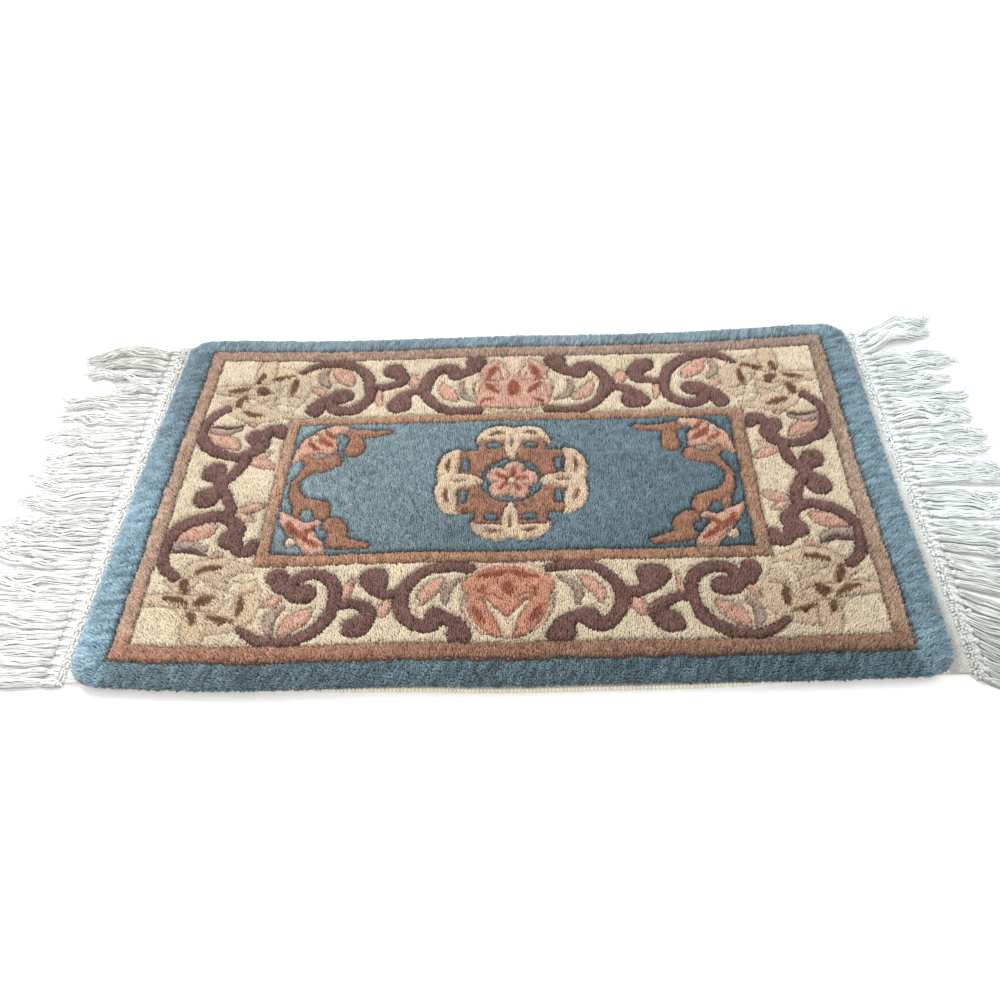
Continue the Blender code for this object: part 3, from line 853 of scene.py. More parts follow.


# Painted light and shade on the tan stripes: colour factors at places along each side.
TAN_PAINTED_LIGHT = {
    "front": ((-0.42, (1.01, 0.88, 0.86)), (-0.3, (0.97, 0.79, 0.74)), (0.42, (0.77, 0.70, 0.68))),
    "back": ((-0.42, (1.06, 1.05, 1.09)), (0.42, (0.86, 0.97, 1.10))),
    "left": ((-0.16, (1.20, 1.25, 1.35)), (0.0, (1.07, 1.14, 1.24)), (0.2, (1.11, 1.09, 1.12))),
    "right": ((-0.16, (1.11, 1.15, 1.18)), (0.0, (1.12, 1.28, 1.39)), (0.16, (0.91, 0.98, 1.03))),
    "inner_front": ((-0.25, (1.10, 0.94, 0.86)), (0.25, (0.99, 0.90, 0.85))),
    "inner": ((-0.278, (1.13, 1.10, 1.07)), (-0.2, (1.09, 1.00, 0.94)), (0.25, (1.04, 0.97, 0.92)),
              (0.288, (0.95, 0.89, 0.84))),
}


def tan_painted_light(side, at):
    """The painted light on the tan wool at each place along one side, one number a channel."""
    places, shades = zip(*TAN_PAINTED_LIGHT[side])
    return np.stack([np.interp(at, places, channel) for channel in zip(*shades)], axis=-1)


def stripe_painted_light(wool_numbers, x, y):
    """Painted light and shade on the tan stripes: redder in front and paler at the left, without a hard
    change.
    """
    ends = np.where((x < 0)[:, None], tan_painted_light("left", y), tan_painted_light("right", y))
    front, back = (np.clip((side * y - 0.214) / 0.020, 0.0, 1.0)[:, None] for side in (-1, 1))
    outer = ends + front * (tan_painted_light("front", x) - ends) + back * (tan_painted_light("back", x) - ends)
    inner = np.where((y < -0.09)[:, None], tan_painted_light("inner_front", x), tan_painted_light("inner", x))
    is_inner = (np.abs(x) < 0.34) & (np.abs(y) < 0.17)
    shades = np.where(is_inner[:, None], inner, outer)
    return np.where((wool_numbers == WOOLS.index("tan"))[:, None], shades, 1.0)


# Painted shade in the carved lines: how much darker a tuft is drawn there, for most wools, pale wools and
# blue.
GROOVE_DARK, GROOVE_DARK_PALE, GROOVE_DARK_BLUE = 0.52, 0.40, 0.70


def groove_painted_shade(wool_numbers, groove):
    """Painted shade in a carved line: how much darker a tuft in it is drawn. Blue wool shows it most and
    pale wool least.
    """
    dark = np.full(groove.shape, GROOVE_DARK)
    pale = ("cream", "ivory", "sand", "wheat")
    dark[np.isin(wool_numbers, [WOOLS.index(name) for name in pale])] = GROOVE_DARK_PALE
    blue = wool_numbers == WOOLS.index("blue")
    dark[blue] = GROOVE_DARK_BLUE
    return 1.0 - dark * np.exp(-(groove / np.where(blue, 3.0, 2.3)) ** 2)


depth_inside = -rounded_edge(tuft_x, tuft_y) / MM
edge_drop = np.interp(depth_inside, *zip(*EDGE_ROUND)) * MM
swell_drop = SWELL_DEPTH * np.clip(1.0 - chart.groove / SWELL_REACH, 0.0, 1.0) ** 2
groove_drop = GROOVE_DEPTH * np.exp(-(chart.groove / GROOVE_REACH) ** 2)
tuft_height = (PILE_TOP + 0.5 * MM - FOOT_HEIGHT - edge_drop - swell_drop - groove_drop
               + 0.20 * MM * np.cos(2 * pi * tuft_x / RIB_PITCH)
               + 0.38 * MM * patches(tuft_x, tuft_y, 0.0034, 0.0050, chance)
               + 0.25 * MM * chance.normal(size=tuft_x.shape))
out_x, out_y = outward(tuft_x, tuft_y)
spill = np.interp(depth_inside, (0.0, 4.0, 14.0, 28.0, 36.0), (4.2, 3.4, 2.8, 1.8, 0.0)) * MM
lean_x = (out_x * spill + 0.55 * MM * patches(tuft_x, tuft_y, 0.008, 0.008, chance)
          + 0.25 * MM * chance.normal(size=tuft_x.shape))
lean_y = (out_y * spill + 0.55 * MM * patches(tuft_x, tuft_y, 0.008, 0.008, chance)
          + 0.25 * MM * chance.normal(size=tuft_x.shape) - 0.4 * MM)
shades = dye(chart.wool, tuft_x, tuft_y, chance) * border_painted_light(tuft_x, tuft_y)
shades *= stripe_painted_light(chart.wool, tuft_x, tuft_y) * field_painted_light(chart.wool, tuft_x, tuft_y)
shades *= groove_painted_shade(chart.wool, chart.groove)[:, None]
wide = np.minimum(7.0, 3.0 + 0.8 * depth_inside) * MM * chance.uniform(0.9, 1.1, tuft_x.shape)
place_x, place_y = laid(tuft_x, tuft_y)
pile_points = plant(tuft, place_x, place_y, np.full(tuft_x.shape, FOOT_HEIGHT), tuft_height, wide,
                    lean_x, lean_y, chance.uniform(0, 2 * pi, tuft_x.shape))
pile_tints = tuft_tints(tuft, shades)

# %% [markdown]
# The pile is kept in the parts that a weaver would name, which also keeps each mesh small:
# the outer border, the plain stripes, the flowered border in two halves, and the field.

# %% the pile in its parts
u = drawn(chart_x, AXIS_X, LINE_PLAN, "left", "right", "drawn_x")
v = drawn(chart_y, AXIS_Y, LINE_PLAN, "front", "back", "drawn_y")
outer, frame_stripe, inner, field = (line_distance(u, v, number) < 0 for number in (4, 3, 2, 1))
flowered = frame_stripe & ~inner
PILE_PARTS = {
    "pile_outer_border": ~outer,
    "pile_stripes": (outer & ~frame_stripe) | (inner & ~field),
    "pile_flowers_left": flowered & (tuft_x < 0),
    "pile_flowers_right": flowered & (tuft_x >= 0),
    "pile_field": field,
}
pile_pieces = [make_copies(name, tuft, pile_points[part], pile_tints[part], wool)
               for name, part in PILE_PARTS.items()]

# %% [markdown]
# ## The shaggy edge
# Along the outline the wool hangs out over the ground in loose locks. They are the same form,
# long and thin, in tiers that lean further out the lower they start.

# %% edge locks
EDGE_PITCH = 1.3 * MM
# Painted highlight: the tips of the edge locks at the two ends are drawn pale grey, most at the left and in
# the outer tiers.
TIP_HIGHLIGHT_COLOUR = np.array([0.72, 0.70, 0.71])
TIP_HIGHLIGHT_LEFT = 1.4
Tier = namedtuple("Tier", "inside foot rise spill fuzz")
EDGE_TIERS = (
    Tier(inside=7.0, foot=5.0, rise=8.0, spill=3.2, fuzz=0.0),
    Tier(inside=4.6, foot=4.6, rise=6.6, spill=4.4, fuzz=0.40),
    Tier(inside=3.0, foot=3.9, rise=4.4, spill=5.6, fuzz=0.70),
)


def edge_walk(inside, pitch):
    """Places at equal steps along the rug's outline, the given distance in from it."""
    corner = PILE_CORNER - inside
    half_x, half_y = PILE_LENGTH / 2 - PILE_CORNER, PILE_WIDTH / 2 - PILE_CORNER
    x, y = [], []
    for side, (centre_x, centre_y) in enumerate(((half_x, half_y), (-half_x, half_y),
                                                 (-half_x, -half_y), (half_x, -half_y))):
        angles = np.linspace(side * pi / 2, (side + 1) * pi / 2, int(corner * pi / 2 / pitch) + 1)
        x.append(centre_x + corner * np.cos(angles))
        y.append(centre_y + corner * np.sin(angles))
        run = 2 * (half_x if side % 2 == 0 else half_y)
        along = np.arange(pitch, run, pitch)
        heading = angles[-1] + pi / 2
        x.append(x[-1][-1] + along * cos(heading))
        y.append(y[-1][-1] + along * sin(heading))
    return np.concatenate(x), np.concatenate(y)


def lock_tier(tier, chance):
    x, y = edge_walk(tier.inside * MM, EDGE_PITCH)
    x = x + chance.normal(0, 0.6, x.shape) * MM
    y = y + chance.normal(0, 0.6, x.shape) * MM
    out_x, out_y = outward(x, y)
    reach = tier.spill * MM * chance.uniform(0.4, 1.2, x.shape)
    stray = (1.2 * patches(x, y, 0.006, 0.006, chance) + 0.5 * chance.normal(size=x.shape)) * MM
    height = tier.rise * MM * chance.uniform(0.85, 1.12, x.shape)
    lay_x, lay_y = laid(x, y)
    points = plant(tuft, lay_x, lay_y, np.full(x.shape, tier.foot * MM), height,
                   chance.uniform(2.4, 3.6, x.shape) * MM, out_x * reach - out_y * stray,
                   out_y * reach + out_x * stray, chance.uniform(0, 2 * pi, x.shape))
    colours = dye(np.zeros(x.shape, int), x, y, chance) * border_painted_light(x, y)
    # Painted highlight on the locks that hang out at the ends.
    fuzz = (tier.fuzz * np.where(out_x < 0, TIP_HIGHLIGHT_LEFT, 1.0) * np.abs(out_x))[:, None]
    return points, tuft_tints(tuft, colours * (1 - fuzz) + fuzz * TIP_HIGHLIGHT_COLOUR)


tiers = [lock_tier(tier, chance) for tier in EDGE_TIERS]
edge_points, edge_tints = (np.concatenate(part) for part in zip(*tiers))
pile_pieces.append(make_copies("pile_edge_locks", tuft, edge_points, edge_tints, wool))

# %% [markdown]
# ## The cotton ground
# Under the wool lies a firm cloth of cotton warps and wefts. It shows as a smooth web past both
# ends of the pile, along the front edge, and underneath. A thin slab is shaped from a grid, and
# the weave is a pattern: warps and wefts pass over and under each other like the squares of a
# chessboard, so the product of two waves gives their rise and fall.

# %% weave finish
WARP_PITCH = 1.9 * MM


def weave_material(name, colour, pitch, depth):
    """Plain weave in one shade of cotton, with slubs, painted shade between the threads where they dip, and
    the painted shade of the tint attribute.
    """
    material, tree, shader = start_material(name, 0.92, 0.15, 0.15)
    place = wire(tree, "ShaderNodeTexCoord")
    axes = wire(tree, "ShaderNodeSeparateXYZ", Vector=place.outputs["Object"])
    waves = []
    for axis in ("X", "Y"):
        count = tree.nodes.new("ShaderNodeMath")
        count.operation = "MULTIPLY"
        count.inputs[1].default_value = pi / pitch
        tree.links.new(axes.outputs[axis], count.inputs[0])
        wave = tree.nodes.new("ShaderNodeMath")
        wave.operation = "SINE"
        tree.links.new(count.outputs[0], wave.inputs[0])
        waves.append(wave.outputs[0])
    crossing = tree.nodes.new("ShaderNodeMath")
    crossing.operation = "MULTIPLY"
    tree.links.new(waves[0], crossing.inputs[0])
    tree.links.new(waves[1], crossing.inputs[1])
    rise = wire(tree, "ShaderNodeMapRange", Value=crossing.outputs[0], From_Min=-1.0, From_Max=1.0)
    slub = wire(tree, "ShaderNodeTexNoise", Vector=place.outputs["Object"], Scale=420.0, Detail=4.0)
    patch = wire(tree, "ShaderNodeTexNoise", Vector=place.outputs["Object"], Scale=28.0, Detail=2.0)
    # Painted shade: the threads are drawn darker where the weave lies low.
    grey = tuple(0.84 * channel for channel in colour[:3]) + (1.0,)
    thread = mixed(tree, "MIX", rise.outputs["Result"], grey, colour)
    spots = wire(tree, "ShaderNodeMapRange", Value=slub.outputs["Fac"], From_Min=0.35, From_Max=0.65,
                 To_Min=0.78, To_Max=1.0)
    speckled = mixed(tree, "MULTIPLY", 1.0, thread, spots.outputs["Result"])
    cloud = wire(tree, "ShaderNodeMapRange", Value=patch.outputs["Fac"], From_Min=0.35,
                 From_Max=0.65, To_Min=0.90, To_Max=1.0)
    # The tint attribute carries painted shade on the cloth.
    tint = wire(tree, "ShaderNodeAttribute")
    tint.attribute_name = "tint"
    shaded_cloth = mixed(tree, "MULTIPLY", 1.0, speckled, tint.outputs["Color"])
    aged = mixed(tree, "MULTIPLY", 1.0, shaded_cloth, cloud.outputs["Result"])
    woven = wire(tree, "ShaderNodeBump", Height=crossing.outputs[0], Strength=0.8, Distance=depth)
    rough = wire(tree, "ShaderNodeBump", Height=slub.outputs["Fac"], Strength=0.5, Distance=depth,
                 Normal=woven.outputs["Normal"])
    tree.links.new(aged, shader.inputs["Base Color"])
    tree.links.new(rough.outputs["Normal"], shader.inputs["Normal"])
    return material


cotton_cloth = weave_material("cotton cloth", (0.81, 0.82, 0.79, 1.0), WARP_PITCH, 0.0005)


def cotton_painted_shade(x, y):
    """Painted shade on the cotton, with a warmer tint where it is darker: most towards the front right
    corner, and at the back of the left end, where the clumps are lifted.
    """
    rightward = np.clip(x / (PILE_LENGTH / 2), 0.0, 1.0)
    forward = np.clip(0.15 - y / (PILE_WIDTH / 2), 0.0, 1.15)
    leftward_back = np.clip(-x / (PILE_LENGTH / 2), 0.0, 1.0) * np.clip(4 * y / PILE_WIDTH - 1.0, 0.0, 1.0)
    grey = 1.0 - 0.07 * rightward - 0.27 * rightward * forward**2 - 0.28 * leftward_back
    return grey[..., None] * (1.0 - (1.0 - grey[..., None]) * np.array([-0.06, 0.0, 0.10]))

# %% the slab
WEB_LEFT, WEB_RIGHT = 0.013, 0.017
SELVEDGE_TUCK = 0.004
GROUND_COLUMNS, GROUND_ROWS = 96, 44


def ground_place(part_x, part_y):
    """A place on the ground, given as parts of its length and width from 0 to 1."""
    x = -PILE_LENGTH / 2 - WEB_LEFT + part_x * (PILE_LENGTH + WEB_LEFT + WEB_RIGHT)
    y = (part_y - 0.5) * (PILE_WIDTH - 2 * SELVEDGE_TUCK)
    lie_x, lie_y = laid(x, y)
    past_end = np.clip((np.abs(x) - PILE_LENGTH / 2) / WEB_LEFT, 0.0, 1.0)
    lie_x = lie_x + (x - lie_x) * past_end
    forward = np.clip(1.0 - part_y * 4, 0.0, 1.0) * through(LONG_WAVES, "x", "selvedge", x)
    return lie_x, lie_y - forward


def make_ground():
    bm = bmesh.new()
    bmesh.ops.create_grid(bm, x_segments=GROUND_COLUMNS, y_segments=GROUND_ROWS, size=0.5)
    for vert in bm.verts:
        vert.co.x, vert.co.y = ground_place(vert.co.x + 0.5, vert.co.y + 0.5)
    lid = bmesh.ops.extrude_face_region(bm, geom=list(bm.faces))
    raised = [part for part in lid["geom"] if isinstance(part, bmesh.types.BMVert)]
    bmesh.ops.translate(bm, verts=raised, vec=(0.0, 0.0, GROUND_THICKNESS))
    bmesh.ops.recalc_face_normals(bm, faces=bm.faces)
    mesh = bpy.data.meshes.new("ground_cloth")
    bm.to_mesh(mesh)
    bm.free()
    places = np.array([vert.co for vert in mesh.vertices])
    tints = np.ones((len(places), 4), np.float32)
    # Painted shade on the ground cloth.
    tints[:, :3] = cotton_painted_shade(places[:, 0], places[:, 1])
    mesh.color_attributes.new("tint", "FLOAT_COLOR", "POINT").data.foreach_set("color", tints.ravel())
    mesh.materials.append(cotton_cloth)
    ground = bpy.data.objects.new("ground_cloth", mesh)
    scene.collection.objects.link(ground)
    return ground


ground = make_ground()
print("ground:", [round(side, 4) for side in ground.dimensions])

# %% [markdown]
# ## The cotton cords
# Everything past the web is cotton yarn: the twined chain that locks the last weft, the knots,
# and the loose cords. It is nearly white. Its tint varies a little from yarn to yarn, and it carries
# painted shade, darker underneath and where parts lie between others. The fibre finish is the
# wool's with paler streaks.

# %% cotton finish and its tints
cotton_yarn = fibre_material("cotton yarn", (900.0, 900.0, 900.0), 0.84, 0.0004, 0.9, 0.2)
COTTON = linear(243, 243, 238)
# Painted shade: how dark the underside of a yarn, wrap or knot is drawn.
UNDER_SHADE = 0.57


def cotton_tints(height, copies, chance, spread=0.05):
    """Painted shade for each point: darker underneath, where the yarn lies on its neighbours. Height runs
    from -1 below to 1 on top.
    """
    under = UNDER_SHADE + (1.0 - UNDER_SHADE) * np.clip(0.55 + 0.6 * height, 0.0, 1.0)
    shade = 1.0 + spread * chance.normal(size=(copies, 1, 1))
    warmth = 1.0 + 0.012 * chance.normal(size=(copies, 1, 3))
    return COTTON * shade * warmth * under[None, :, None]

# %% [markdown]
# ## Wraps
# A selvedge is overcast with yarn, and a chain edge is twined from slanting stitches. Both are
# rows of plump wraps, so one small egg form serves for both.

# %% the wrap form
def egg_cell(face, place):
    """The egg unrolled from its top, round the middle of the cell."""
    down = np.arccos(np.clip(place.normalized().z, -1.0, 1.0)) / pi
    side = place if abs(place.x) + abs(place.y) > 1e-5 else face.calc_center_median()
    flat = Vector((side.x, side.y, 0.0)).normalized() * (0.46 * down)
    return (0.5 + flat.x, 0.5 + flat.y)


def make_egg_form(around, rings):
    bm = bmesh.new()
    bmesh.ops.create_uvsphere(bm, u_segments=around, v_segments=rings, radius=1.0)
    return form_of(bm, egg_cell)


egg = make_egg_form(6, 4)


def set_eggs(x, y, z, half_long, half_wide, half_tall, heading):
    """Eggs laid flat, each pointing along its heading."""
    local = egg.points[None]
    along = local[..., 0] * half_long[:, None]
    across = local[..., 1] * half_wide[:, None]
    return np.stack([
        x[:, None] + along * np.cos(heading)[:, None] - across * np.sin(heading)[:, None],
        y[:, None] + along * np.sin(heading)[:, None] + across * np.cos(heading)[:, None],
        z[:, None] + local[..., 2] * half_tall[:, None],
    ], axis=-1)


# %% selvedges
WRAP_PITCH = 3.9 * MM
WRAP_HALF_TALL = 2.1 * MM


def make_selvedge(name, part_y, chance):
    """Overcast wraps along one long edge of the ground."""
    count = int((PILE_LENGTH - 2 * SELVEDGE_TUCK) / WRAP_PITCH)
    part_x = np.linspace(0.022, 0.974, count)
    x, y = ground_place(part_x, np.full(count, part_y))
    hidden = 1.0 - np.clip(through(LONG_WAVES, "x", "selvedge", x) / 0.003, 0.0, 1.0)
    y = y + (1.0 - 2 * part_y) * 2.5 * MM * hidden
    size = chance.uniform(0.92, 1.08, count)
    points = set_eggs(x, y, np.full(count, WRAP_HALF_TALL), 3.4 * MM * size, 2.35 * MM * size,
                      WRAP_HALF_TALL * np.ones(count), pi / 2 + chance.normal(0, 0.12, count))
    return make_copies(name, egg, points, cotton_tints(egg.points[:, 2], count, chance) * (0.93, 0.88, 0.76),
                       cotton_yarn)


cotton_pieces = [make_selvedge("selvedge_front", 0.0, chance), make_selvedge("selvedge_back", 1.0, chance)]

# %% [markdown]
# ## Yarns
# A yarn is a tube that follows a path. The form is a four-sided straight tube with a ring of
# points at each station. To bend it, each ring is carried to its station of the path and turned
# to face along it.

# %% the yarn form
YARN_STATIONS, YARN_SIDES = 18, 4


def yarn_cell(face, place):
    """The tube's skin unrolled along the cell, and each end cap folded into a far corner."""
    if abs(face.normal.z) > 0.9:
        return (0.955 + 0.02 * place.x, 0.5 + 0.1 * face.normal.z + 0.02 * place.y)
    middle = face.calc_center_median()
    base = np.arctan2(middle.y, middle.x) / (2 * pi)
    swing = np.arctan2(place.y, place.x) / (2 * pi) - base
    around = (base % 1.0) + (swing + 0.5) % 1.0 - 0.5
    return (0.03 + 0.88 * (place.z + 0.5), 0.12 + 0.76 * around)


def make_yarn_form(stations, sides):
    bm = bmesh.new()
    bmesh.ops.create_cone(bm, cap_ends=True, segments=sides, radius1=1.0, radius2=1.0, depth=1.0)
    lengthwise = [edge for edge in bm.edges if abs(edge.verts[0].co.z - edge.verts[1].co.z) > 0.5]
    bmesh.ops.subdivide_edges(bm, edges=lengthwise, cuts=stations - 2)
    return form_of(bm, yarn_cell)


yarn = make_yarn_form(YARN_STATIONS, YARN_SIDES)
short_yarn = make_yarn_form(6, 6)
print("yarn:", len(yarn.points), "points and", len(yarn.faces), "triangles")


def bend(form, stations, paths, radii):
    """Carries each copy of a yarn along its path. Paths are (copies, stations, 3)."""
    ring = np.rint((form.points[:, 2] + 0.5) * (stations - 1)).astype(int)
    heading = np.gradient(paths, axis=1)
    heading /= np.linalg.norm(heading, axis=2, keepdims=True)
    side = np.cross((0.0, 0.0, 1.0), heading)
    side /= np.linalg.norm(side, axis=2, keepdims=True)
    over = np.cross(heading, side)
    thick = radii[:, ring, None]
    return (paths[:, ring] + thick * (side[:, ring] * form.points[None, :, :1]
                                      + over[:, ring] * form.points[None, :, 1:2]))

# %% [markdown]
# ## The fringe
# The warps come out of the web and are gathered in bunches. Each bunch is knotted close to the
# web, and past its knot it opens into loose yarns that lie on the floor in clumps. The left
# clumps are those of the construction. The right ones are grouped anew, and single tips stray
# up to 42 mm from it. A yarn keeps its own place in its cord: it spreads from the knot, wanders
# a little, and ends where it happens to be cut.

# %% the clumps
KNOT_BAND = 0.015
KNOT_OUT = 13.0 * MM
FRINGE_INSET = 0.006
Clump = namedtuple("Clump", "teeth reach drift bow lift", defaults=(0.0,))
LEFT_CLUMPS = (
    Clump(2, 0.116, -0.004, 0.008, 0.006), Clump(2, 0.106, 0.000, 0.006, 0.005),
    Clump(2, 0.102, 0.004, 0.006, 0.003), Clump(2, 0.062, 0.004, 0.004, 0.003),
    Clump(3, 0.120, 0.005, 0.003), Clump(2, 0.112, 0.004, 0.003), Clump(3, 0.118, -0.002, -0.002),
    Clump(3, 0.117, -0.003, -0.002, 0.001), Clump(3, 0.115, 0.001, -0.004),
    Clump(4, 0.114, 0.003, -0.003, 0.001), Clump(3, 0.120, 0.006, -0.003),
    Clump(4, 0.124, 0.012, -0.005, 0.002), Clump(3, 0.122, 0.009, -0.004),
    Clump(4, 0.118, 0.002, 0.000), Clump(4, 0.120, -0.004, 0.002, 0.001),
    Clump(2, 0.112, -0.006, 0.002),
)
RIGHT_CLUMPS = (
    Clump(4, 0.088, 0.036, 0.006, 0.008), Clump(3, 0.093, 0.006, 0.003, 0.001),
    Clump(3, 0.080, 0.001, 0.002), Clump(2, 0.097, 0.001, 0.000),
    Clump(4, 0.090, -0.001, 0.008, 0.002), Clump(4, 0.099, -0.003, 0.005, 0.001),
    Clump(4, 0.108, -0.006, 0.003), Clump(4, 0.104, -0.010, 0.002, 0.001),
    Clump(4, 0.104, -0.020, 0.001, 0.001), Clump(4, 0.106, -0.036, 0.000),
    Clump(4, 0.104, -0.058, -0.002, 0.001), Clump(4, 0.098, -0.072, -0.001, 0.001),
    Clump(2, 0.080, -0.046, -0.001),
)
# Painted light and shade of each end: shade tints the whole end as the light on it does, net_shade darkens
# the chain, knots and legs, gap_shade darkens the core yarns, and gap_from is where along their length the
# low yarns are drawn darkest.
End = namedtuple("End", "name side root_x clumps shade net_shade gap_shade gap_from net_front net_back")
ENDS = (
    End("fringe_left", -1, PILE_LENGTH / 2 + WEB_LEFT, LEFT_CLUMPS, shade=(1.01, 1.02, 1.04),
        net_shade=0.95, gap_shade=0.44, gap_from=0.50, net_front=8.0, net_back=8.0),
    End("fringe_right", 1, PILE_LENGTH / 2 + WEB_RIGHT, RIGHT_CLUMPS, shade=(0.99, 1.06, 1.09),
        net_shade=0.86, gap_shade=0.45, gap_from=0.15, net_front=1.5, net_back=9.0),
)
BACK_Y = PILE_WIDTH / 2 - FRINGE_INSET
Cords = namedtuple("Cords", "root across reach drift bow lift pitch")
COMBED = 0.65


def cords_of(clumps):
    """One value a cord in each column, from the back corner to the front one."""
    pitch = 2 * BACK_Y / sum(clump.teeth for clump in clumps)
    rows, middles, root = [], [], BACK_Y - pitch / 2
    for clump in clumps:
        middle = root - pitch * (clump.teeth - 1) / 2
        middles.append(-middle)
        for _ in range(clump.teeth):
            rows.append([root, root - middle, *clump[1:]])
            root -= pitch
    cords = Cords(*np.array(rows).T, pitch)
    shared = np.interp(-cords.root, middles, [clump.drift for clump in clumps])
    return cords._replace(drift=cords.drift + COMBED * (shared - cords.drift))


def net_x(end, y, out):
    """Places in the net, which is worked in over the web a little further at the back."""
    woven_in = np.interp(y, (-BACK_Y, BACK_Y), (end.net_front, end.net_back))
    return end.side * (end.root_x + (out - woven_in) * MM)


def end_tints(height, spots, end, chance, spread=0.05):
    """Cotton tints for copies at the given spots of an end, with the end's painted light and the cloth's
    painted shade.
    """
    tints = cotton_tints(height, len(spots), chance, spread) * end.shade
    return tints * cotton_painted_shade(spots[:, 0], spots[:, 1])[:, None, :]


def knot_shift(cords):
    """How far the stray of each cord has moved its knot sideways."""
    return cords.drift * KNOT_OUT / cords.reach

# %% chain edge
STITCH_PITCH = 3.7 * MM
Stitches = namedtuple("Stitches", "out slant long wide height kept")
CHAIN_ROWS = (
    Stitches(out=0.4, slant=0.60, long=2.6, wide=1.6, height=3.9, kept=1.0),
    Stitches(out=4.0, slant=-0.60, long=2.6, wide=1.6, height=3.9, kept=1.0),
    Stitches(out=7.9, slant=0.80, long=2.7, wide=1.5, height=3.6, kept=0.8),
)
CORE_OUTS = (2.2, 6.0)
CORE_HEIGHT, CORE_HALF = 2.3 * MM, 2.1 * MM


def make_chain(end, chance):
    """Slanting stitches in rows that meet like a plait."""
    roots = np.arange(-BACK_Y, BACK_Y, STITCH_PITCH)
    rows = []
    for number, row in enumerate(CHAIN_ROWS):
        y = roots[chance.uniform(size=len(roots)) < row.kept] + number * STITCH_PITCH / 2
        count = len(y)
        x = net_x(end, y, row.out + chance.normal(0, 0.7, count))
        y = y + chance.normal(0, 0.6, count) * MM
        size = chance.uniform(0.75, 1.2, count)
        heading = pi / 2 - end.side * row.slant + chance.normal(0, 0.45, count)
        height = (row.height + chance.normal(0, 0.45, count)) * MM
        rows.append(set_eggs(x, y, height, row.long * MM * size, row.wide * MM * size,
                             1.8 * MM * size, heading))
    points = np.concatenate(rows)
    return make_copies(end.name + "_chain", egg, points,
                       end_tints(egg.points[:, 2], points.mean(1), end, chance, 0.09) * end.net_shade,
                       cotton_yarn)


def make_core(end, chance):
    """The yarns that the stitches are twined round, drawn dark as painted shade between the stitches."""
    y = np.linspace(-BACK_Y, BACK_Y, YARN_STATIONS)
    outs = np.array(CORE_OUTS)[:, None] + chance.normal(0, 0.3, (len(CORE_OUTS), YARN_STATIONS))
    paths = np.stack([net_x(end, y, outs), np.broadcast_to(y, outs.shape),
                      np.full(outs.shape, CORE_HEIGHT)], axis=-1)
    tints = cotton_tints(yarn.points[:, 1], len(outs), chance) * end.gap_shade
    points = bend(yarn, YARN_STATIONS, paths, np.full(outs.shape, CORE_HALF))
    return make_copies(end.name + "_core", yarn, points, tints, cotton_yarn, columns=1)

# %% knots and their legs
Wrap = namedtuple("Wrap", "slant lift long wide tall")
KNOT_WRAPS = (Wrap(0.0, 3.3, 4.3, 3.2, 3.1), Wrap(0.8, 4.4, 4.6, 1.7, 2.2), Wrap(-0.6, 4.0, 4.4, 1.6, 2.2))


def make_knots(end, chance):
    """Each cord's knot: two yarns wrapped slantwise over each other, on a round core."""
    cords = cords_of(end.clumps)
    count = len(cords.root)
    x = end.side * (end.root_x + KNOT_OUT + chance.normal(0, 2.0, count) * MM)
    y = cords.root + knot_shift(cords) + chance.normal(0, 0.7, count) * MM
    size = chance.uniform(0.82, 1.12, count)
    turn = chance.normal(0, 0.35, count)
    parts = []
    for wrap in KNOT_WRAPS:
        nudge = chance.normal(0, 0.4, count) * MM
        parts.append(set_eggs(x + nudge, y, wrap.lift * MM * size, wrap.long * MM * size,
                              wrap.wide * MM * size, wrap.tall * MM * size,
                              pi / 2 - wrap.slant + turn))
    points = np.concatenate(parts)
    return make_copies(end.name + "_knots", egg, points,
                       end_tints(egg.points[:, 2], points.mean(1), end, chance) * end.net_shade,
                       cotton_yarn)


# Painted shade: the outer legs, which lie lower between the knots, are drawn darker.
LEG_STARTS = (-0.46, -0.34, -0.16, 0.16, 0.34, 0.46)
LEG_SHADES = (0.62, 1.0, 0.92, 0.92, 1.0, 0.62)
LEG_OUT = 6.0


def make_legs(end, chance):
    """Two bunches of warps run from the chain into each knot, with painted shade where they part."""
    cords = cords_of(end.clumps)
    t = np.linspace(0.0, 1.0, 6)
    paths, shades = [], []
    goal = cords.root + knot_shift(cords)
    for offset, shade in zip(LEG_STARTS, LEG_SHADES):
        start = cords.root + (offset * cords.pitch + chance.normal(0, 0.5, cords.root.shape) * MM)
        finish = goal + offset * (0.30 if shade > 0.7 else 0.9) * cords.pitch
        begin_x = net_x(end, start, LEG_OUT)[:, None]
        x = begin_x + (end.side * (end.root_x + KNOT_OUT) - begin_x) * t
        y = start[:, None] + (finish - start)[:, None] * t
        z = (1.4 + shade + (0.4 + shade) * np.sin(pi * t)) * MM
        paths.append(np.stack(np.broadcast_arrays(x, y, z[None]), axis=-1))
        shades.append(np.full(len(start), shade))
    paths, shades = np.concatenate(paths), np.concatenate(shades)
    radii = np.broadcast_to((1.45 - 0.2 * t) * MM, paths.shape[:2])
    tints = end_tints(short_yarn.points[:, 1], paths.mean(1), end, chance, 0.08)
    tints = tints * shades[:, None, None] * end.net_shade
    return make_copies(end.name + "_legs", short_yarn, bend(short_yarn, 6, paths, radii),
                       tints, cotton_yarn, columns=4)

# %% [markdown]
# Past its knot a cord opens into a bundle of yarns: a layer low down between the cords, drawn dark
# as painted shade, a layer over it, and a light one on top. Neighbouring cords drift together in slow
# waves, which is what makes a fringe look combed by hand and not by machine. A few yarns stray across.

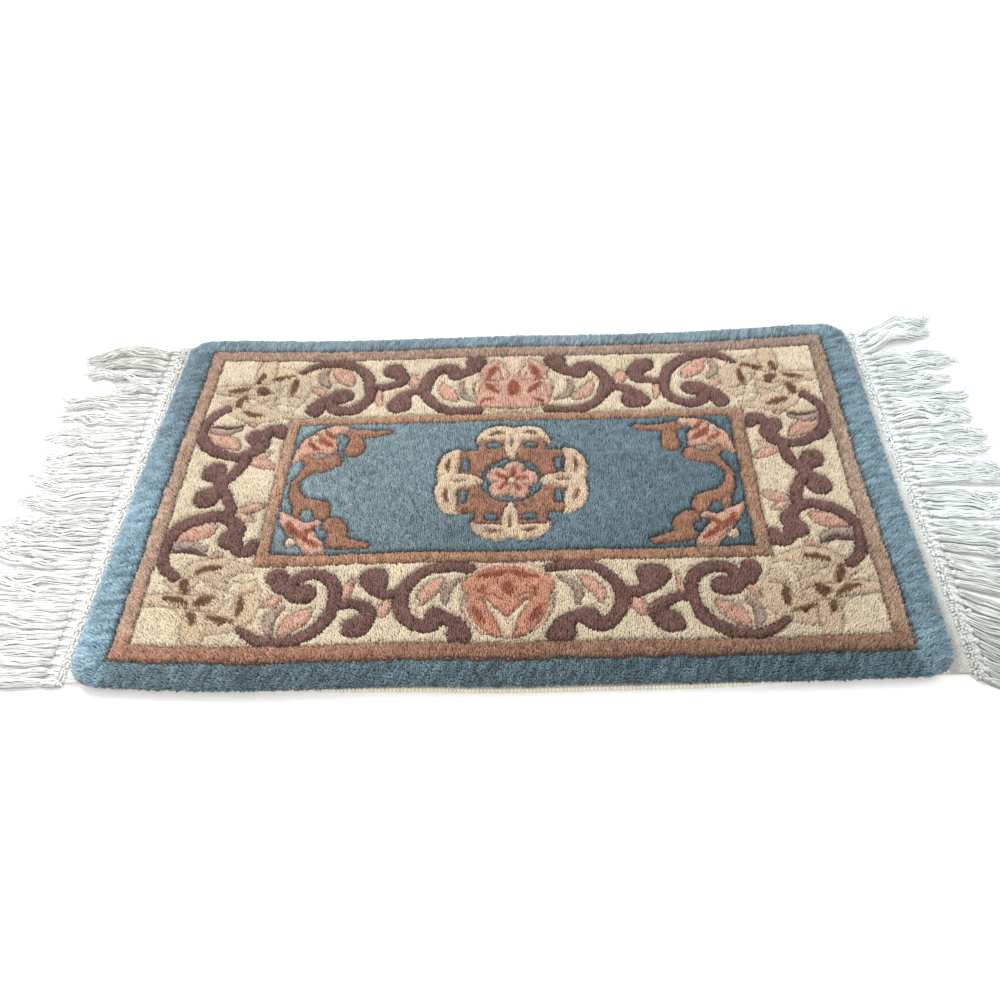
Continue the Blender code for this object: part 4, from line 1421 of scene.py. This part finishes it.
# %% loose yarns
# A lane's shade is painted shade: the low lanes between the cords are drawn darker.
Lane = namedtuple("Lane", "across level shade thick")
LANES = (
    Lane(-1.25, 0.0, 0.74, 1.0), Lane(-0.45, 0.0, 0.80, 1.0), Lane(0.45, 0.0, 0.80, 1.0),
    Lane(1.25, 0.0, 0.74, 1.0), Lane(-0.52, 0.45, 0.97, 1.9), Lane(0.52, 0.45, 0.97, 1.9),
    Lane(-1.08, 0.5, 0.92, 1.1), Lane(1.08, 0.5, 0.92, 1.1), Lane(-0.25, 0.9, 1.0, 1.35),
    Lane(0.30, 0.95, 1.0, 1.35), Lane(-0.78, 0.8, 1.0, 0.9), Lane(0.78, 0.8, 1.0, 0.9),
    Lane(-0.10, 1.3, 1.04, 0.75), Lane(0.45, 1.2, 1.04, 0.75),
)
STRAY_SHARE = 0.16
Wave = namedtuple("Wave", "swing length")
OWN_WAVES = (Wave(0.9, 0.036), Wave(0.5, 0.021))
# in millimetres: a cord's half width at its knot and how it opens, then how far its yarns swing
BUNDLE_HALF, BUNDLE_OPENING, BUNDLE_SPREAD, TIP_SPREAD = 2.7, 1.4, 0.9, 2.5
SLOW_SWING, QUICK_SWING, STRAY_SWING, STRAY_LIFT = 5.0, 3.0, 8.0, 1.5
# in millimetres: how high the top yarns lie, how they come down, and how thick a yarn is
YARN_RISE, RISE_FALL, TIP_FALL, HEAP = 3.4, 1.2, 1.0, 1.1
YARN_RADIUS, TIP_TAPER, THICK_TAPER = 0.95, 0.33, 0.45


def make_yarns(end, chance):
    """Every cord's yarns, from inside its knot to their loose ends."""
    cords = cords_of(end.clumps)
    count = len(cords.root) * len(LANES)
    cord = np.repeat(np.arange(len(cords.root)), len(LANES))
    root, across, reach, drift, bow, lift = (values[cord][:, None] for values in cords[:6])
    lane, level, depth, thick = (np.tile(values, len(cords.root))[:, None] for values in zip(*LANES))
    t = np.linspace(0.0, 1.0, YARN_STATIONS)[None]
    cord_length = chance.normal(1.0, 0.05, len(cords.root))[cord][:, None]
    length = reach * cord_length * chance.normal(0.97, 0.055, (count, 1))
    along = np.broadcast_to(t, (count, YARN_STATIONS))
    seat = np.broadcast_to(root, along.shape)
    slow_wave = patches(seat, along, 0.022, 0.28, chance)
    quick_wave = patches(seat, along, 0.013, 0.13, chance)
    heap_wave = patches(seat, along, 0.016, 0.25, chance)
    phase = chance.uniform(0, 2 * pi, (3, count, 1))
    metres = length * t
    own_y = sum(wave.swing * np.sin(2 * pi * metres / wave.length + phase[number])
                for number, wave in enumerate(OWN_WAVES))
    own_z = 0.40 * np.sin(2 * pi * metres / 0.030 + phase[2])
    stray = ((chance.uniform(size=(count, 1)) < STRAY_SHARE) * (level > 0.7) * (thick < 1.2)
             * np.clip(0.7 * chance.standard_t(3, (count, 1)), -2.6, 2.6))
    lane = lane + chance.normal(0, 0.14, (count, 1))
    half = (BUNDLE_HALF + BUNDLE_OPENING * np.clip(t / 0.16, 0, 1) ** 0.7 + BUNDLE_SPREAD * t
            + TIP_SPREAD * np.clip(t - 0.7, 0, 1))
    y = (root - across * 0.45 * t**1.8 + drift * (KNOT_OUT + length * t) / reach + bow * np.sin(pi * t)
         + (lane * half + t**0.5 * (own_y + SLOW_SWING * slow_wave * t**0.4
                                    + QUICK_SWING * quick_wave)
            + STRAY_SWING * stray * t**1.3) * MM)
    x = end.side * (end.root_x + KNOT_BAND - 3.0 * MM + (length + 3.0 * MM) * t)
    rise = YARN_RISE - RISE_FALL * t - TIP_FALL * t**3 + HEAP * np.clip(heap_wave, -1, 1.5)
    z = (1.05 + level * rise + own_z * level + STRAY_LIFT * np.abs(stray) * np.sin(pi * t)) * MM
    z = z + lift * np.sin(pi * t) ** 1.3
    radius = ((YARN_RADIUS * thick - TIP_TAPER * t**4 - THICK_TAPER * (thick - 1.0) * t) * MM
              * chance.uniform(0.8, 1.12, (count, 1)))
    paths = np.stack(np.broadcast_arrays(x, y, np.maximum(z, radius)), axis=-1)
    # Painted shade: the low yarns are drawn darkest at the end's gap_from along their length.
    ring_part = yarn.points[:, 2] + 0.5
    dark = np.exp(-((ring_part[None] - end.gap_from) / 0.30) ** 2)
    shade = np.where(depth < 0.85, 0.95 + (depth - 0.95) * dark, depth)
    tints = end_tints(yarn.points[:, 1], paths.mean(1), end, chance, 0.06) * shade[..., None]
    return make_copies(end.name + "_yarns", yarn, bend(yarn, YARN_STATIONS, paths, radius),
                       tints, cotton_yarn, columns=4)

# %% making both ends
FringePieces = namedtuple("FringePieces", "end core chain knots legs yarns")
fringes = [FringePieces(end, make_core(end, chance), make_chain(end, chance),
                        make_knots(end, chance), make_legs(end, chance), make_yarns(end, chance))
           for end in ENDS]

# %% [markdown]
# ## Tying the pieces to the part
# Every piece moves with the one body and stands for the plain solid of the imported model that it
# was made on. The ground is one laid sheet of cloth, and the wool and the cotton cords are what is
# on it.

# %% bodies and the hidden solids
for piece in pile_pieces:
    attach(piece, "root")
    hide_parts("pile")
for piece in [ground] + cotton_pieces:
    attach(piece, "root")
    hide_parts("ground")
for made in fringes:
    for piece in made[1:]:
        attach(piece, "root")
        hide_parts(made.end.name)
